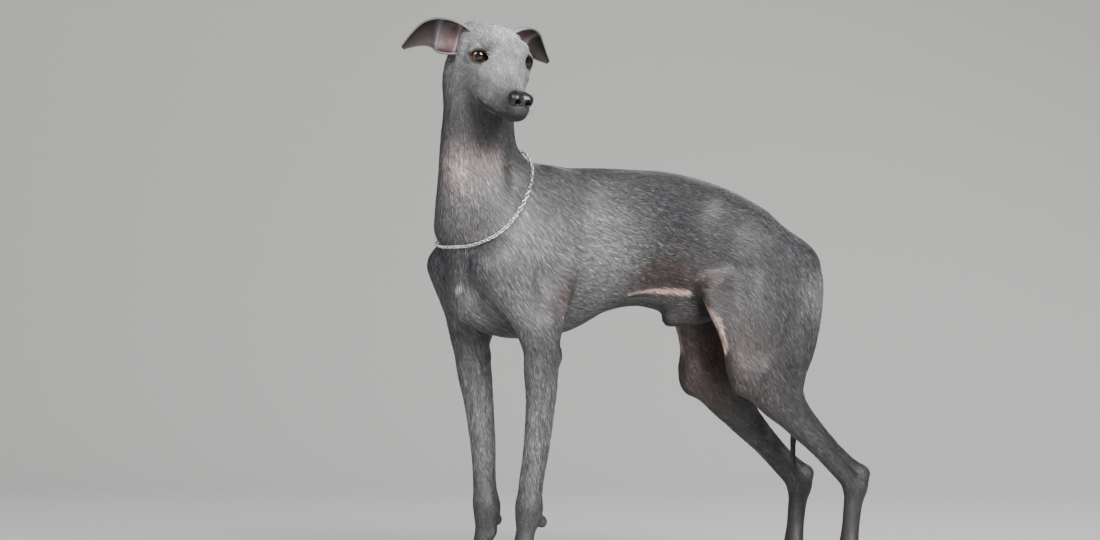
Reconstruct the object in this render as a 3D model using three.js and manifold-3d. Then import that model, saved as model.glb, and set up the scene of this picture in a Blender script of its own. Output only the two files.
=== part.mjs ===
// A small sighthound standing square with its head turned to its left. Millimetres, Z up, nose towards -Y.
import * as THREE from 'three';
import { mergeVertices } from 'three/addons/utils/BufferGeometryUtils.js';
import Module from 'manifold-3d';

const wasm = await Module();
wasm.setup();

// Clear space left between two neighbouring solids
const GAP = 0.3;
const SIDES = [1, -1];
const SIDE_NAME = { 1: 'left', '-1': 'right' };

// How far the middle of the whole lies from the middle of the trunk, turned head included
const MIDDLE = [-25.1, -7.5];

// Small vector sums
const add = (a, b) => [a[0] + b[0], a[1] + b[1], a[2] + b[2]];
const sub = (a, b) => [a[0] - b[0], a[1] - b[1], a[2] - b[2]];
const mul = (a, s) => [a[0] * s, a[1] * s, a[2] * s];
const dot = (a, b) => a[0] * b[0] + a[1] * b[1] + a[2] * b[2];
const cross = (a, b) => [
  a[1] * b[2] - a[2] * b[1],
  a[2] * b[0] - a[0] * b[2],
  a[0] * b[1] - a[1] * b[0],
];
const size = (a) => Math.sqrt(dot(a, a));
const unit = (a) => mul(a, 1 / Math.max(size(a), 1e-9));
const mix = (a, b, t) => add(mul(a, 1 - t), mul(b, t));
const clamp = (v, low, high) => Math.min(high, Math.max(low, v));
const radians = (degrees) => (degrees * Math.PI) / 180;

// Joints of the legs: the left pair of feet stands a little further back than the right pair
const JOINTS = {
  1: {
    blade: [17, -80, 334],
    shoulder: [35, -146, 262],
    elbow: [37, -100, 198],
    carpus: [31, -113, 66],
    knuckle: [31, -121, 24],
    hip: [29, 138, 272],
    stifle: [38, 100, 170],
    hock: [36, 208, 78],
    heel: [36, 217, 88],
    toeRoot: [36, 201, 24],
  },
  '-1': {
    blade: [-17, -86, 334],
    shoulder: [-35, -152, 262],
    elbow: [-37, -126, 198],
    carpus: [-31, -119, 65],
    knuckle: [-31, -124, 24],
    hip: [-29, 138, 272],
    stifle: [-38, 96, 169],
    hock: [-36, 198, 76],
    heel: [-36, 207, 86],
    toeRoot: [-36, 192, 24],
  },
};

// The head is built about a point between the eyes, turned to the left and held a little down
const HEAD_AT = [50, -148.5, 432];
const HEAD_TURN = radians(79.5);
const HEAD_DOWN = radians(28);
const HEAD_ROLL = radians(6.3);
const LEVEL = [Math.sin(HEAD_TURN), -Math.cos(HEAD_TURN), 0];
const FORWARD = add(mul(LEVEL, Math.cos(HEAD_DOWN)), [0, 0, -Math.sin(HEAD_DOWN)]);
const EVEN = unit(cross([0, 0, 1], LEVEL));
const LEFT = add(mul(EVEN, Math.cos(HEAD_ROLL)), mul(cross(FORWARD, EVEN), -Math.sin(HEAD_ROLL)));
const CROWN = cross(FORWARD, LEFT);
const inHead = (forward, left, up) =>
  add(HEAD_AT, add(mul(FORWARD, forward), add(mul(LEFT, left), mul(CROWN, up))));
const headTurned = (v) => add(mul(FORWARD, v[0]), add(mul(LEFT, v[1]), mul(CROWN, v[2])));

// Flesh is a list of soft bodies, each joined to those before it by its own blend
const flesh = [];
const reliefs = [];

// A smooth run through a row of stations
function refine(stations, steps = 4) {
  const out = [];
  const last = stations.length - 1;
  for (let i = 0; i < last; i += 1) {
    const rows = [i - 1, i, i + 1, i + 2].map((k) => stations[clamp(k, 0, last)]);
    for (let s = 0; s < steps; s += 1) {
      const t = s / steps;
      out.push(
        rows[1].map((_, k) => {
          const [a, b, c, d] = rows.map((row) => row[k]);
          const bend = 2 * a - 5 * b + 4 * c - d + (3 * b - a - 3 * c + d) * t;
          return b + 0.5 * t * (c - a + t * bend);
        }),
      );
    }
  }
  out.push(stations[last]);
  return out;
}

// One body along a row of stations, each its middle and its half sizes across and deep
function limb(region, blend, across, stations) {
  const rows = stations.length > 2 ? refine(stations) : stations;
  const links = [];
  for (let i = 0; i < rows.length - 1; i += 1) {
    const a = rows[i].slice(0, 3);
    const b = rows[i + 1].slice(0, 3);
    const along = sub(b, a);
    const axis = unit(along);
    const side = unit(sub(across, mul(axis, dot(across, axis))));
    links.push({
      a,
      along,
      axis,
      side,
      deep: cross(axis, side),
      lengthSquared: dot(along, along),
      radii: [rows[i][3], rows[i][4], rows[i + 1][3], rows[i + 1][4]],
    });
  }
  const at = (p) => {
    let best = Infinity;
    for (const link of links) {
      const q = sub(p, link.a);
      const t = clamp(dot(q, link.along) / link.lengthSquared, 0, 1);
      const w = link.radii[0] + (link.radii[2] - link.radii[0]) * t;
      const d = link.radii[1] + (link.radii[3] - link.radii[1]) * t;
      const rest = sub(q, mul(link.along, t));
      const end = Math.min(w, d);
      const x = dot(rest, link.side);
      const y = dot(rest, link.deep);
      const z = dot(rest, link.axis);
      const k0 = Math.sqrt((x / w) ** 2 + (y / d) ** 2 + (z / end) ** 2);
      const k1 = Math.sqrt((x / w ** 2) ** 2 + (y / d ** 2) ** 2 + (z / end ** 2) ** 2);
      best = Math.min(best, k1 > 1e-9 ? (k0 * (k0 - 1)) / k1 : -end);
    }
    return best;
  };
  const low = [0, 1, 2].map((k) => Math.min(...rows.map((r) => r[k] - Math.max(r[3], r[4]))));
  const high = [0, 1, 2].map((k) => Math.max(...rows.map((r) => r[k] + Math.max(r[3], r[4]))));
  flesh.push({ region, blend, at, low, high });
}

// One rounded mass with three half sizes along its own directions
function mass(region, blend, middle, halves, turned = (v) => v) {
  const axes = [turned([1, 0, 0]), turned([0, 1, 0]), turned([0, 0, 1])];
  const at = (p) => {
    const q = sub(p, middle);
    const [x, y, z] = axes.map((axis) => dot(q, axis));
    const [a, b, c] = halves;
    const k0 = Math.sqrt((x / a) ** 2 + (y / b) ** 2 + (z / c) ** 2);
    const k1 = Math.sqrt((x / a ** 2) ** 2 + (y / b ** 2) ** 2 + (z / c ** 2) ** 2);
    return k1 > 1e-9 ? (k0 * (k0 - 1)) / k1 : -Math.min(a, b, c);
  };
  const most = Math.max(...halves);
  flesh.push({
    region,
    blend,
    at,
    low: middle.map((v) => v - most),
    high: middle.map((v) => v + most),
  });
}

// A raised or sunken line over the flesh: a vein, a tendon, the edge of a muscle
function relief(region, height, width, points) {
  const rows = points.length > 2 ? refine(points, 3) : points;
  const reach = 2.6 * width;
  const low = [0, 1, 2].map((k) => Math.min(...rows.map((r) => r[k])) - reach);
  const high = [0, 1, 2].map((k) => Math.max(...rows.map((r) => r[k])) + reach);
  const at = (p) => {
    let nearest = Infinity;
    for (let i = 0; i < rows.length - 1; i += 1) {
      const along = sub(rows[i + 1], rows[i]);
      const q = sub(p, rows[i]);
      const t = clamp(dot(q, along) / dot(along, along), 0, 1);
      nearest = Math.min(nearest, size(sub(q, mul(along, t))));
    }
    return height * Math.exp(-((nearest / width) ** 2));
  };
  reliefs.push({ region, at, low, high });
}

const outside = (p, low, high, margin) =>
  p.some((v, k) => v < low[k] - margin || v > high[k] + margin);

// Signed depth of a point in the flesh of some regions: below zero inside
function fleshOf(regions, grown = 0) {
  const bodies = flesh.filter((body) => regions.includes(body.region));
  const lines = reliefs.filter((line) => regions.includes(line.region));
  return (p) => {
    let d = 60;
    for (const body of bodies) {
      if (outside(p, body.low, body.high, Math.min(Math.max(d, 0), 60) + body.blend)) continue;
      const e = body.at(p);
      const h = Math.max(body.blend - Math.abs(d - e), 0) / body.blend;
      d = Math.min(d, e) - (h * h * body.blend) / 4;
    }
    for (const line of lines) {
      if (Math.abs(d) < 12 && !outside(p, line.low, line.high, 0)) d -= line.at(p);
    }
    return d - grown;
  };
}

// Stations given along a bone: share of its length, then backward, outward, half sizes out and deep
function alongBone(from, to, side, rows) {
  const axis = unit(sub(to, from));
  const out = unit(sub([side, 0, 0], mul(axis, side * axis[0])));
  const back = cross([1, 0, 0], axis);
  const rear = back[1] >= 0 ? back : mul(back, -1);
  return rows.map(([t, backward, outward, halfOut, halfDeep]) => [
    ...add(mix(from, to, t), add(mul(rear, backward), mul(out, outward))),
    halfOut,
    halfDeep,
  ]);
}

const X_AXIS = [1, 0, 0];

// Chest, back, loin and croup: y, z, half width, half depth
function buildTrunk() {
  const line = (rows) => rows.map(([y, z, w, d]) => [0, y, z, w, d]);
  limb('torso', 8, X_AXIS, line([
    [-142, 270, 24, 44],
    [-118, 280, 32, 58],
    [-90, 284, 38, 60],
    [-60, 287, 43, 57],
    [-30, 292, 43, 52],
    [0, 296, 39, 46],
    [25, 295, 34, 47],
    [50, 291, 32, 47],
    [80, 284, 33, 47],
    [110, 276, 34, 41],
    [140, 266, 31, 32],
    [160, 258, 21, 21],
  ]));
  // The deep keel of the brisket, rising behind it
  limb('torso', 26, X_AXIS, line([
    [-146, 243, 15, 28],
    [-126, 232, 18, 26],
    [-96, 228, 20, 24],
    [-66, 233, 20, 23.5],
    [-38, 247, 19, 22],
    [-8, 258, 18, 21],
  ]));
  // The belly, lower on its middle line than the folds of the flanks
  limb('torso', 14, X_AXIS, line([
    [-22, 248, 13, 13],
    [8, 243, 12, 11],
    [34, 238, 11, 11],
    [60, 237, 10, 11],
    [84, 239, 10, 11],
  ]));
  // The breastbone point
  mass('torso', 20, [0, -153, 258], [18, 11, 26]);
  for (const side of SIDES) {
    // Long muscles beside the spine, over the loin and on to the croup
    limb('torso', 16, X_AXIS, [
      [side * 11, -70, 330, 10, 12],
      [side * 13, -20, 333, 12, 11],
      [side * 14, 40, 331, 13, 11],
      [side * 14, 85, 319, 13, 11],
      [side * 14, 120, 303, 12, 11],
    ]);
    // Rump, out to the point of the hip and back to the seat bone
    limb('torso', 18, X_AXIS, [
      [side * 20, 74, 306, 12, 16],
      [side * 26, 106, 288, 15, 22],
      [side * 27, 138, 268, 16, 22],
      [side * 21, 160, 250, 13, 16],
    ]);
  }
  // Root of the tail
  limb('torso', 12, X_AXIS, [
    [0, 160, 270, 12, 12],
    [0, 178, 257, 9, 9],
    [0, 185, 247, 6.6, 6.6],
  ]);
  // Small sheath under the belly of the male
  limb('torso', 14, X_AXIS, [
    [0, 98, 236, 9, 10],
    [0, 72, 225, 8.5, 9],
    [0, 50, 221.5, 7.5, 8],
    [0, 40, 219, 5, 5.4],
  ]);
  for (const side of SIDES) {
    // Hollow behind the upper arm, creases of the breast, and the line under the flank
    relief('torso', -2.2, 7, [[side * 45, -93, 272], [side * 45, -94, 247], [side * 46, -93, 226]]);
    relief('torso', -1.8, 5, [[side * 20, -163, 252], [side * 17, -154, 233], [side * 11, -134, 215]]);
    relief('torso', -1.5, 5, [[side * 42, -145, 236], [side * 34, -138, 221], [side * 22, -126, 211]]);
    relief('torso', -1.8, 4, [
      [side * 14, -15, 240],
      [side * 13, 10, 238],
      [side * 13, 35, 236],
      [side * 15, 55, 233],
    ]);
  }
}

// The neck rises nearly upright and turns into the back of the head
function buildNeck() {
  limb('neck', 30, X_AXIS, [
    [0, -112, 300, 30, 40],
    [0, -129, 318, 29, 39],
    [0, -137, 338, 27, 34],
    [-1, -141, 362, 26, 30],
    [-3, -142.5, 392, 25.5, 29.5],
    [-5, -144, 420, 24, 29],
    [-3, -143, 440, 21, 24],
  ]);
  // Windpipe line down the front and the long muscle on each side
  limb('neck', 16, X_AXIS, [
    [12, -158, 412, 10, 10],
    [2, -166, 372, 10, 11],
    [-2, -166, 330, 12, 13],
    [-4, -166, 296, 15, 14],
  ]);
  // Groove along each side, in front of the long muscle
  for (const side of SIDES) {
    relief('neck', -1.8, 6, [
      [side * 22, -127, 363],
      [side * 29, -129, 339],
      [side * 38, -136, 308],
      [side * 38, -149, 291],
    ]);
  }
}

// Upper arm, forearm and foot of one foreleg
function buildForeleg(side) {
  const joint = JOINTS[side];
  const region = `foreleg_${SIDE_NAME[side]}`;
  // Shoulder blade with its two muscles and the ridge between them
  limb('torso', 20, X_AXIS, alongBone(joint.blade, joint.shoulder, side, [
    [0.04, 2, 0, 7, 14],
    [0.4, 4, 3, 10, 22],
    [0.75, 2, 3, 12, 22],
    [1, 2, 0, 13, 20],
  ]));
  limb('torso', 14, X_AXIS, alongBone(joint.shoulder, joint.elbow, side, [
    [-0.05, 2, 0, 13, 19],
    [0.4, 0, 1, 12, 18],
    [0.8, 0, 0, 12, 16],
  ]));
  // The muscle behind the upper arm, from the blade to the point of the elbow
  const bladeEdge = add(mix(joint.blade, joint.shoulder, 0.45), [side * 6, 24, -10]);
  const point = add(joint.elbow, [0, 5, 2]);
  limb('torso', 14, X_AXIS, alongBone(bladeEdge, point, side, [
    [0, 0, 0, 9, 15],
    [0.5, -1, 1, 11, 14],
    [0.95, -7, 0, 9, 9],
  ]));
  // Forearm
  limb(region, 12, X_AXIS, alongBone(joint.elbow, joint.carpus, side, [
    [-0.12, -8, 0, 12, 12.5],
    [0.0, -6.5, 0.5, 12, 13.8],
    [0.15, -3.5, 0.5, 11.5, 15.5],
    [0.34, -1, 0.5, 10.3, 13],
    [0.62, 0, 0, 8.8, 11.2],
    [0.84, -1, 0, 8.8, 10],
    [0.97, -1, 0, 10.8, 10.4],
    [1.06, 0, 0, 9.6, 9.4],
  ]));
  mass(region, 6, add(joint.elbow, [side, 6, -8]), [6.5, 7, 8.5]);
  // Pastern
  limb(region, 8, X_AXIS, alongBone(joint.carpus, joint.knuckle, side, [
    [0.05, 0, 0, 9.6, 8.8],
    [0.5, 0, 0, 8.6, 7.6],
    [1, 0, 0, 10.5, 8.6],
  ]));
  // Stopper pad behind the wrist and the dewclaw's toe inside it
  mass(region, 4, add(joint.carpus, [side * 2, 10.5, -13]), [4.2, 4.2, 5]);
  const dew = add(joint.carpus, [-side * 9, 1, -22]);
  limb(region, 4, X_AXIS, [
    [...add(dew, [side * 2, 0, 9]), 3.2, 3.6],
    [...dew, 3, 3.4],
    [...add(dew, [-side * 0.5, -2.5, -5]), 2.4, 2.6],
  ]);
  // Groove, tendons and the vein down the forearm
  relief(region, -1.2, 3.5, [
    add(mix(joint.elbow, joint.carpus, 0.12), [side * 11, -4, 0]),
    add(mix(joint.elbow, joint.carpus, 0.35), [side * 8.5, -5, 0]),
    add(mix(joint.elbow, joint.carpus, 0.62), [side * 6, -7, 0]),
  ]);
  relief(region, 0.8, 3, [
    add(mix(joint.elbow, joint.carpus, 0.25), [side * 7, 9, 0]),
    add(mix(joint.elbow, joint.carpus, 0.6), [side * 4, 10, 0]),
    add(mix(joint.elbow, joint.carpus, 0.9), [side * 2, 10, 0]),
  ]);
  relief(region, 0.7, 2.2, [
    add(mix(joint.elbow, joint.carpus, 0.2), [side * 6, -14, 0]),
    add(mix(joint.elbow, joint.carpus, 0.5), [side * 3, -12, 0]),
    add(mix(joint.elbow, joint.carpus, 0.85), [-side * 3, -10, 0]),
  ]);
  buildToes(region, side, joint.knuckle, 1);
}

// Thigh, lower thigh, hock and foot of one hind leg
function buildHindleg(side) {
  const joint = JOINTS[side];
  const region = `hindleg_${SIDE_NAME[side]}`;
  // Front of the thigh
  limb(region, 18, X_AXIS, alongBone(joint.hip, joint.stifle, side, [
    [0.0, -14, 2, 15, 34],
    [0.35, -8, 3, 17, 34],
    [0.7, 3, 2, 16, 28],
    [0.95, 4, 0, 12, 17],
  ]));
  // Back of the thigh, from the seat bone down to the lower thigh
  limb(region, 20, X_AXIS, [
    [side * 27, 147, 262, 17, 24],
    [side * 29, 150, 232, 17, 26],
    [side * 32, 144, 200, 16, 24],
    [side * 35, 134, 172, 14, 20],
    [side * 36, 130, 150, 11, 16],
  ]);
  // Knee cap and the fold of skin from the flank
  mass(region, 10, add(joint.stifle, [0, -9, 1]), [9, 9.5, 14]);
  limb(region, 14, X_AXIS, [
    [side * 27, 68, 250, 8, 14],
    [side * 30, 77, 228, 8, 14],
    [side * 33, 85, 205, 9, 12],
    [side * 36, 90, 184, 10, 13],
  ]);
  // Grooves between the muscles behind and in front, and the edge of the flank fold
  relief(region, -2.4, 6, [
    [side * 51, 148, 248],
    [side * 53, 132, 223],
    [side * 54, 128, 198],
    [side * 51, 138, 177],
  ]);
  relief(region, -1.8, 8, [
    [side * 42, 92, 262],
    [side * 42, 88, 240],
    [side * 46, 90, 212],
    [side * 50, 98, 186],
  ]);
  relief(region, 1.2, 4, [[side * 31, 58, 236], [side * 34, 68, 216], [side * 35, 77, 198]]);
  // Lower thigh
  limb(region, 14, X_AXIS, alongBone(joint.stifle, joint.hock, side, [
    [0.0, 4, 0, 13, 18],
    [0.2, 5, 0.5, 12.5, 18],
    [0.42, 3, 0.5, 10.5, 14.5],
    [0.65, 1, 0, 8.6, 10],
    [0.85, -1, 0, 7.8, 8.4],
    [1.0, -1, 0, 9, 9],
  ]));
  // The strong tendon to the point of the hock
  limb(region, 6, X_AXIS, [
    [...add(mix(joint.stifle, joint.hock, 0.3), [0, 6, 10]), 6, 8],
    [...add(mix(joint.stifle, joint.hock, 0.55), [0, 7.5, 8.5]), 4.4, 5.2],
    [...add(mix(joint.stifle, joint.hock, 0.8), [0, 7.5, 8]), 3.4, 3.8],
    [...add(joint.heel, [0, -2, 0]), 4.8, 5],
  ]);
  // Heel bone and rear pastern
  limb(region, 8, X_AXIS, [
    [...add(joint.heel, [0, -2, -3]), 5.6, 6.2],
    [...add(joint.hock, [0, 1, -4]), 8, 9.6],
    [...mix(joint.hock, joint.toeRoot, 0.35), 7.4, 8.4],
    [...mix(joint.hock, joint.toeRoot, 0.7), 7.6, 7.6],
    [...joint.toeRoot, 10, 8],
  ]);
  // The vein that crosses the lower thigh and the groove behind the shin
  relief(region, 0.9, 2, [
    add(mix(joint.stifle, joint.hock, 0.2), [side * 12, 2, 14]),
    add(mix(joint.stifle, joint.hock, 0.45), [side * 10, 2, 8]),
    add(mix(joint.stifle, joint.hock, 0.75), [side * 8, -2, 2]),
  ]);
  relief(region, -1.6, 5, [
    add(mix(joint.stifle, joint.hock, 0.45), [side * 9, 12, 11]),
    add(mix(joint.stifle, joint.hock, 0.9), [side * 7, 7, 9]),
  ]);
  buildToes(region, side, joint.toeRoot, 0.94);
}

// Four arched toes and the pads beneath them
const TOES = [
  { across: -9, reach: 16, spread: -2 },
  { across: -3.6, reach: 22, spread: -0.6 },
  { across: 3.6, reach: 22, spread: 0.6 },
  { across: 9, reach: 16, spread: 2 },
];
const TOE_ARCH = 7;
const TOE_HALF = 4.4;
function toeLine(root, toe, scale) {
  const at = (t, up) => [
    root[0] + (toe.across * (0.75 + 0.25 * t) + toe.spread * t) * scale,
    root[1] - toe.reach * t * scale,
    up * scale,
  ];
  return {
    root: at(0, 19),
    knuckle: at(0.45, 17 + TOE_ARCH * 0.3),
    bend: at(0.8, 11),
    tip: at(1, 6),
  };
}
function buildToes(region, side, root, scale) {
  for (const toe of TOES) {
    const line = toeLine(root, toe, scale);
    limb(region, 2, X_AXIS, [
      [...line.root, TOE_HALF * scale, 6 * scale],
      [...line.knuckle, TOE_HALF * scale, 5.6 * scale],
      [...line.bend, TOE_HALF * scale, 5.4 * scale],
      [...line.tip, 4.2 * scale, 4.6 * scale],
    ]);
    mass(region, 3, add(line.tip, [0, 3, -2.6]), [4.3 * scale, 6.4 * scale, 5 * scale]);
  }
  mass(region, 6, [root[0], root[1] - 4, 6.5], [11 * scale, 11 * scale, 8 * scale]);
}

// Skull, cheeks, muzzle and jaw, all measured about the point between the eyes
const EYE_OUT = 17.7;
const EYE_DEEP = -7.8;
const EYE_UP = -3.6;
const EYE_RADIUS = 9.6;
const EYE_LOOK = 0.37;
const EYE_RAISED = 0.36;
const eyeAt = (side) => inHead(EYE_DEEP, side * EYE_OUT, EYE_UP);
const eyeLook = (side) => unit(headTurned([1, side * EYE_LOOK, EYE_RAISED]));
const headRow = (rows) => rows.map(([f, l, u, w, d]) => [...inHead(f, l, u), w, d]);
function buildHead() {
  limb('head', 10, LEFT, headRow([
    [-55, 0, -9, 18, 13],
    [-42, 0, -5, 23.5, 16.5],
    [-26, 0, -1.5, 25.5, 18.5],
    [-10, 0, -1.5, 22, 18],
    [4, 0, -6, 18, 16],
  ]));
  limb('head', 12, LEFT, headRow([
    [4, 0, -12.5, 18.5, 15.5],
    [16, 0, -14.5, 15.5, 14],
    [34, 0, -16.8, 12.3, 12.2],
    [50, 0, -18, 10.4, 10.8],
    [58, 0, -18, 9.4, 9.6],
  ]));
  // Lower jaw and chin
  limb('head', 6, LEFT, headRow([
    [-14, 0, -28, 17, 11],
    [5, 0, -31, 16, 10.5],
    [20, 0, -31, 14, 9.5],
    [34, 0, -29.2, 10.5, 7.4],
    [50, 0, -27.2, 7.4, 5.6],
  ]));
  for (const side of SIDES) {
    // Cheek muscle, cheek bone, brow and the flesh over the eye
    mass('head', 10, inHead(-24, side * 18, -18), [16, 9, 15], headTurned);
    limb('head', 7, LEFT, headRow([
      [8, side * 17.5, -11, 4, 4],
      [-10, side * 24, -13, 4, 5],
      [-30, side * 24, -8, 4, 6],
    ]));
    mass('head', 7, inHead(-2, side * 13.5, 10), [9, 6.5, 5], headTurned);
    mass('head', 4, eyeAt(side), [11.4, 11.4, 11.4]);
    // Upper lip
    limb('head', 8, LEFT, headRow([
      [52, side * 6.6, -24, 3.4, 4],
      [36, side * 9.6, -26.5, 3.6, 4.4],
      [20, side * 12.6, -27, 3.4, 4.4],
      [2, side * 14.5, -24, 3, 4],
      [-14, side * 15, -18, 2.4, 3],
    ]));
    // The flat of the face below the eye
    limb('head', 12, LEFT, headRow([
      [-22, side * 17, -20, 7, 12],
      [0, side * 13, -21, 6, 11],
      [22, side * 9, -21, 4.5, 8],
    ]));
    // Mound that carries the ear
    mass('head', 10, inHead(-42, side * 17, 1), [10, 8, 10], headTurned);
  }
  // Furrow down the brow and the edge of the nose bone
  relief('head', -0.8, 3.5, [inHead(8, 0, 6), inHead(-12, 0, 17), inHead(-28, 0, 18)]);
}

buildTrunk();
buildNeck();
SIDES.forEach(buildForeleg);
SIDES.forEach(buildHindleg);
buildHead();

// A solid of manifold-3d made from points and faces
function solid(points, faces) {
  const geometry = new THREE.BufferGeometry();
  geometry.setAttribute('position', new THREE.Float32BufferAttribute(points.flat(), 3));
  geometry.setIndex(faces.flat());
  return fromGeometry(geometry);
}
function fromGeometry(source) {
  const geometry = source.clone();
  geometry.deleteAttribute('normal');
  geometry.deleteAttribute('uv');
  const merged = mergeVertices(geometry, 1e-4);
  const made = new wasm.Manifold(
    new wasm.Mesh({
      numProp: 3,
      vertProperties: new Float32Array(merged.attributes.position.array),
      triVerts: new Uint32Array(merged.index.array),
    }),
  );
  return made;
}

// The same with its faces turned outward
function facingOut(points, faces) {
  const made = solid(points, faces);
  if (made.volume() > 0) return made;
  return solid(points, faces.map((face) => [...face].reverse()));
}

// Close a stack of rings of equal count into a solid, with a point at each end
function closeRings(rings, first, last) {
  const count = rings[0].length;
  const points = [first, ...rings.flat(), last];
  const faces = [];
  const at = (ring, k) => 1 + ring * count + (k % count);
  for (let k = 0; k < count; k += 1) {
    faces.push([0, at(0, k + 1), at(0, k)]);
    faces.push([points.length - 1, at(rings.length - 1, k), at(rings.length - 1, k + 1)]);
  }
  for (let r = 0; r < rings.length - 1; r += 1) {
    for (let k = 0; k < count; k += 1) {
      faces.push([at(r, k), at(r, k + 1), at(r + 1, k + 1)]);
      faces.push([at(r, k), at(r + 1, k + 1), at(r + 1, k)]);
    }
  }
  return facingOut(points, faces);
}

// Distance from a point within the flesh to its surface along a direction
const STEP_LEAST = 0.5;
function castOut(field, from, direction, reach) {
  let near = 0;
  let far = 0;
  while (far < reach) {
    const d = field(add(from, mul(direction, far)));
    if (d > 0) break;
    near = far;
    far += Math.max(-d * 0.8, STEP_LEAST);
  }
  if (far >= reach) return reach;
  for (let i = 0; i < 12; i += 1) {
    const middle = (near + far) / 2;
    if (field(add(from, mul(direction, middle))) > 0) far = middle;
    else near = middle;
  }
  return Math.max((near + far) / 2, 0.3);
}

// Flesh ends a little past the planes where a solid will be cut, so that the cut is clean
const OVERRUN = 12;
const beyond = ({ at, normal }, sign = 1) => {
  const n = mul(unit(normal), sign);
  return (p) => dot(sub(p, at), n);
};
const clipped = (field, far) => (p) => Math.max(field(p), far(p) - OVERRUN);

// Rings of points cast out on the flesh from stations in its middle
function loft(field, stations, spec) {
  const { axis, side, count, reach, squash = 1, domes = [0, 0] } = spec;
  const other = cross(axis, side);
  const rays = (k, lift) => {
    const angle = (2 * Math.PI * k) / count;
    const flat = unit(add(mul(side, Math.cos(angle)), mul(other, squash * Math.sin(angle))));
    return add(mul(flat, Math.cos(lift)), mul(axis, Math.sin(lift)));
  };
  const ring = (from, lift) =>
    Array.from({ length: count }, (_, k) => {
      const ray = rays(k, lift);
      return add(from, mul(ray, castOut(field, from, ray, reach)));
    });
  const first = stations[0];
  const last = stations[stations.length - 1];
  const rings = [];
  for (let i = domes[0]; i >= 1; i -= 1) {
    rings.push(ring(first, (-Math.PI / 2) * (i / (domes[0] + 1))));
  }
  for (const from of stations) rings.push(ring(from, 0));
  for (let i = 1; i <= domes[1]; i += 1) {
    rings.push(ring(last, (Math.PI / 2) * (i / (domes[1] + 1))));
  }
  const tail = add(first, mul(axis, -castOut(field, first, mul(axis, -1), reach)));
  const tip = add(last, mul(axis, castOut(field, last, axis, reach)));
  return closeRings(rings, tail, tip);
}

// Even steps along a short list of guide points
function spread(guides, count) {
  return Array.from({ length: count }, (_, i) => {
    const at = (i / (count - 1)) * (guides.length - 1);
    const k = Math.min(Math.floor(at), guides.length - 2);
    return mix(guides[k], guides[k + 1], at - k);
  });
}

// A big block whose near face passes through a point, filling the side its normal points to
const BLOCK = 900;
function block(at, normal, gap = 0) {
  const n = unit(normal);
  const geometry = new THREE.BoxGeometry(BLOCK, BLOCK, BLOCK);
  const turn = new THREE.Quaternion().setFromUnitVectors(
    new THREE.Vector3(0, 0, 1),
    new THREE.Vector3(...n),
  );
  geometry.applyQuaternion(turn);
  geometry.translate(...add(at, mul(n, BLOCK / 2 + gap)));
  return fromGeometry(geometry);
}

// The part of a solid on the side of a plane its normal points to, half a gap clear of it
const ahead = (shape, at, normal) => shape.intersect(block(at, normal, GAP / 2));
const behind = (shape, at, normal) => shape.intersect(block(at, mul(normal, -1), GAP / 2));

// A round tube of changing radius along a line
function tube(points, radii, count, across) {
  const rings = points.map((p, i) => {
    const axis = unit(sub(points[Math.min(i + 1, points.length - 1)], points[Math.max(i - 1, 0)]));
    const side = unit(sub(across, mul(axis, dot(across, axis))));
    const other = cross(axis, side);
    return Array.from({ length: count }, (_, k) => {
      const angle = (2 * Math.PI * k) / count;
      const out = add(mul(side, Math.cos(angle)), mul(other, Math.sin(angle)));
      return add(p, mul(out, radii[i]));
    });
  });
  return closeRings(rings, points[0], points[points.length - 1]);
}

const group = new THREE.Group();
function keep(name, shape, look) {
  const pieces = shape.decompose();
  pieces.sort((a, b) => b.volume() - a.volume());
  const mesh = pieces[0].getMesh();
  const geometry = new THREE.BufferGeometry();
  geometry.setAttribute('position', new THREE.BufferAttribute(mesh.vertProperties, 3));
  geometry.setIndex(new THREE.BufferAttribute(mesh.triVerts, 1));
  geometry.computeVertexNormals();
  const made = new THREE.Mesh(geometry, new THREE.MeshStandardMaterial(look));
  made.name = name;
  group.add(made);
}
const COAT = { color: 0x5d6066, roughness: 0.55, metalness: 0 };
const HORN = { color: 0x1a1819, roughness: 0.35, metalness: 0 };
const WET = { color: 0x241a12, roughness: 0.1, metalness: 0 };
const STEEL = { color: 0xb8bcc2, roughness: 0.3, metalness: 1 };

// Planes where the body is divided
const UP = [0, 0, 1];
const BACK = [0, 1, 0];
const NECK_CUT = { at: [0, -136, 318], normal: [0, -0.62, 0.78] };
const HEAD_CUT = { at: [-2, -143, 424], normal: [0.7, -0.17, 0.69] };
const ARMPIT_BACK = { at: [0, -44, 0], normal: [0, -1, 0] };
const FLANK_FRONT = { at: [0, 24, 0], normal: BACK };
const PASTERN_CUT = { at: [0, 0, 56], normal: UP };
const foreCut = (side) => ({ at: [side * 22, 0, 206], normal: [side * 0.4, 0, -0.92] });
const hindCut = (side) => ({ at: [side * 15, 130, 247], normal: [side * 0.5, 0.2, -0.84] });
const outward = (side) => ({ at: [0, 0, 0], normal: [side, 0, 0] });

// Three planes bound the room of each leg under the trunk
const legRoom = (side) => [
  [foreCut(side), ARMPIT_BACK, outward(side)],
  [hindCut(side), FLANK_FRONT, outward(side)],
];
const TRUNK_REGIONS = [
  'torso', 'neck', 'foreleg_left', 'foreleg_right', 'hindleg_left', 'hindleg_right',
];

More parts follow.
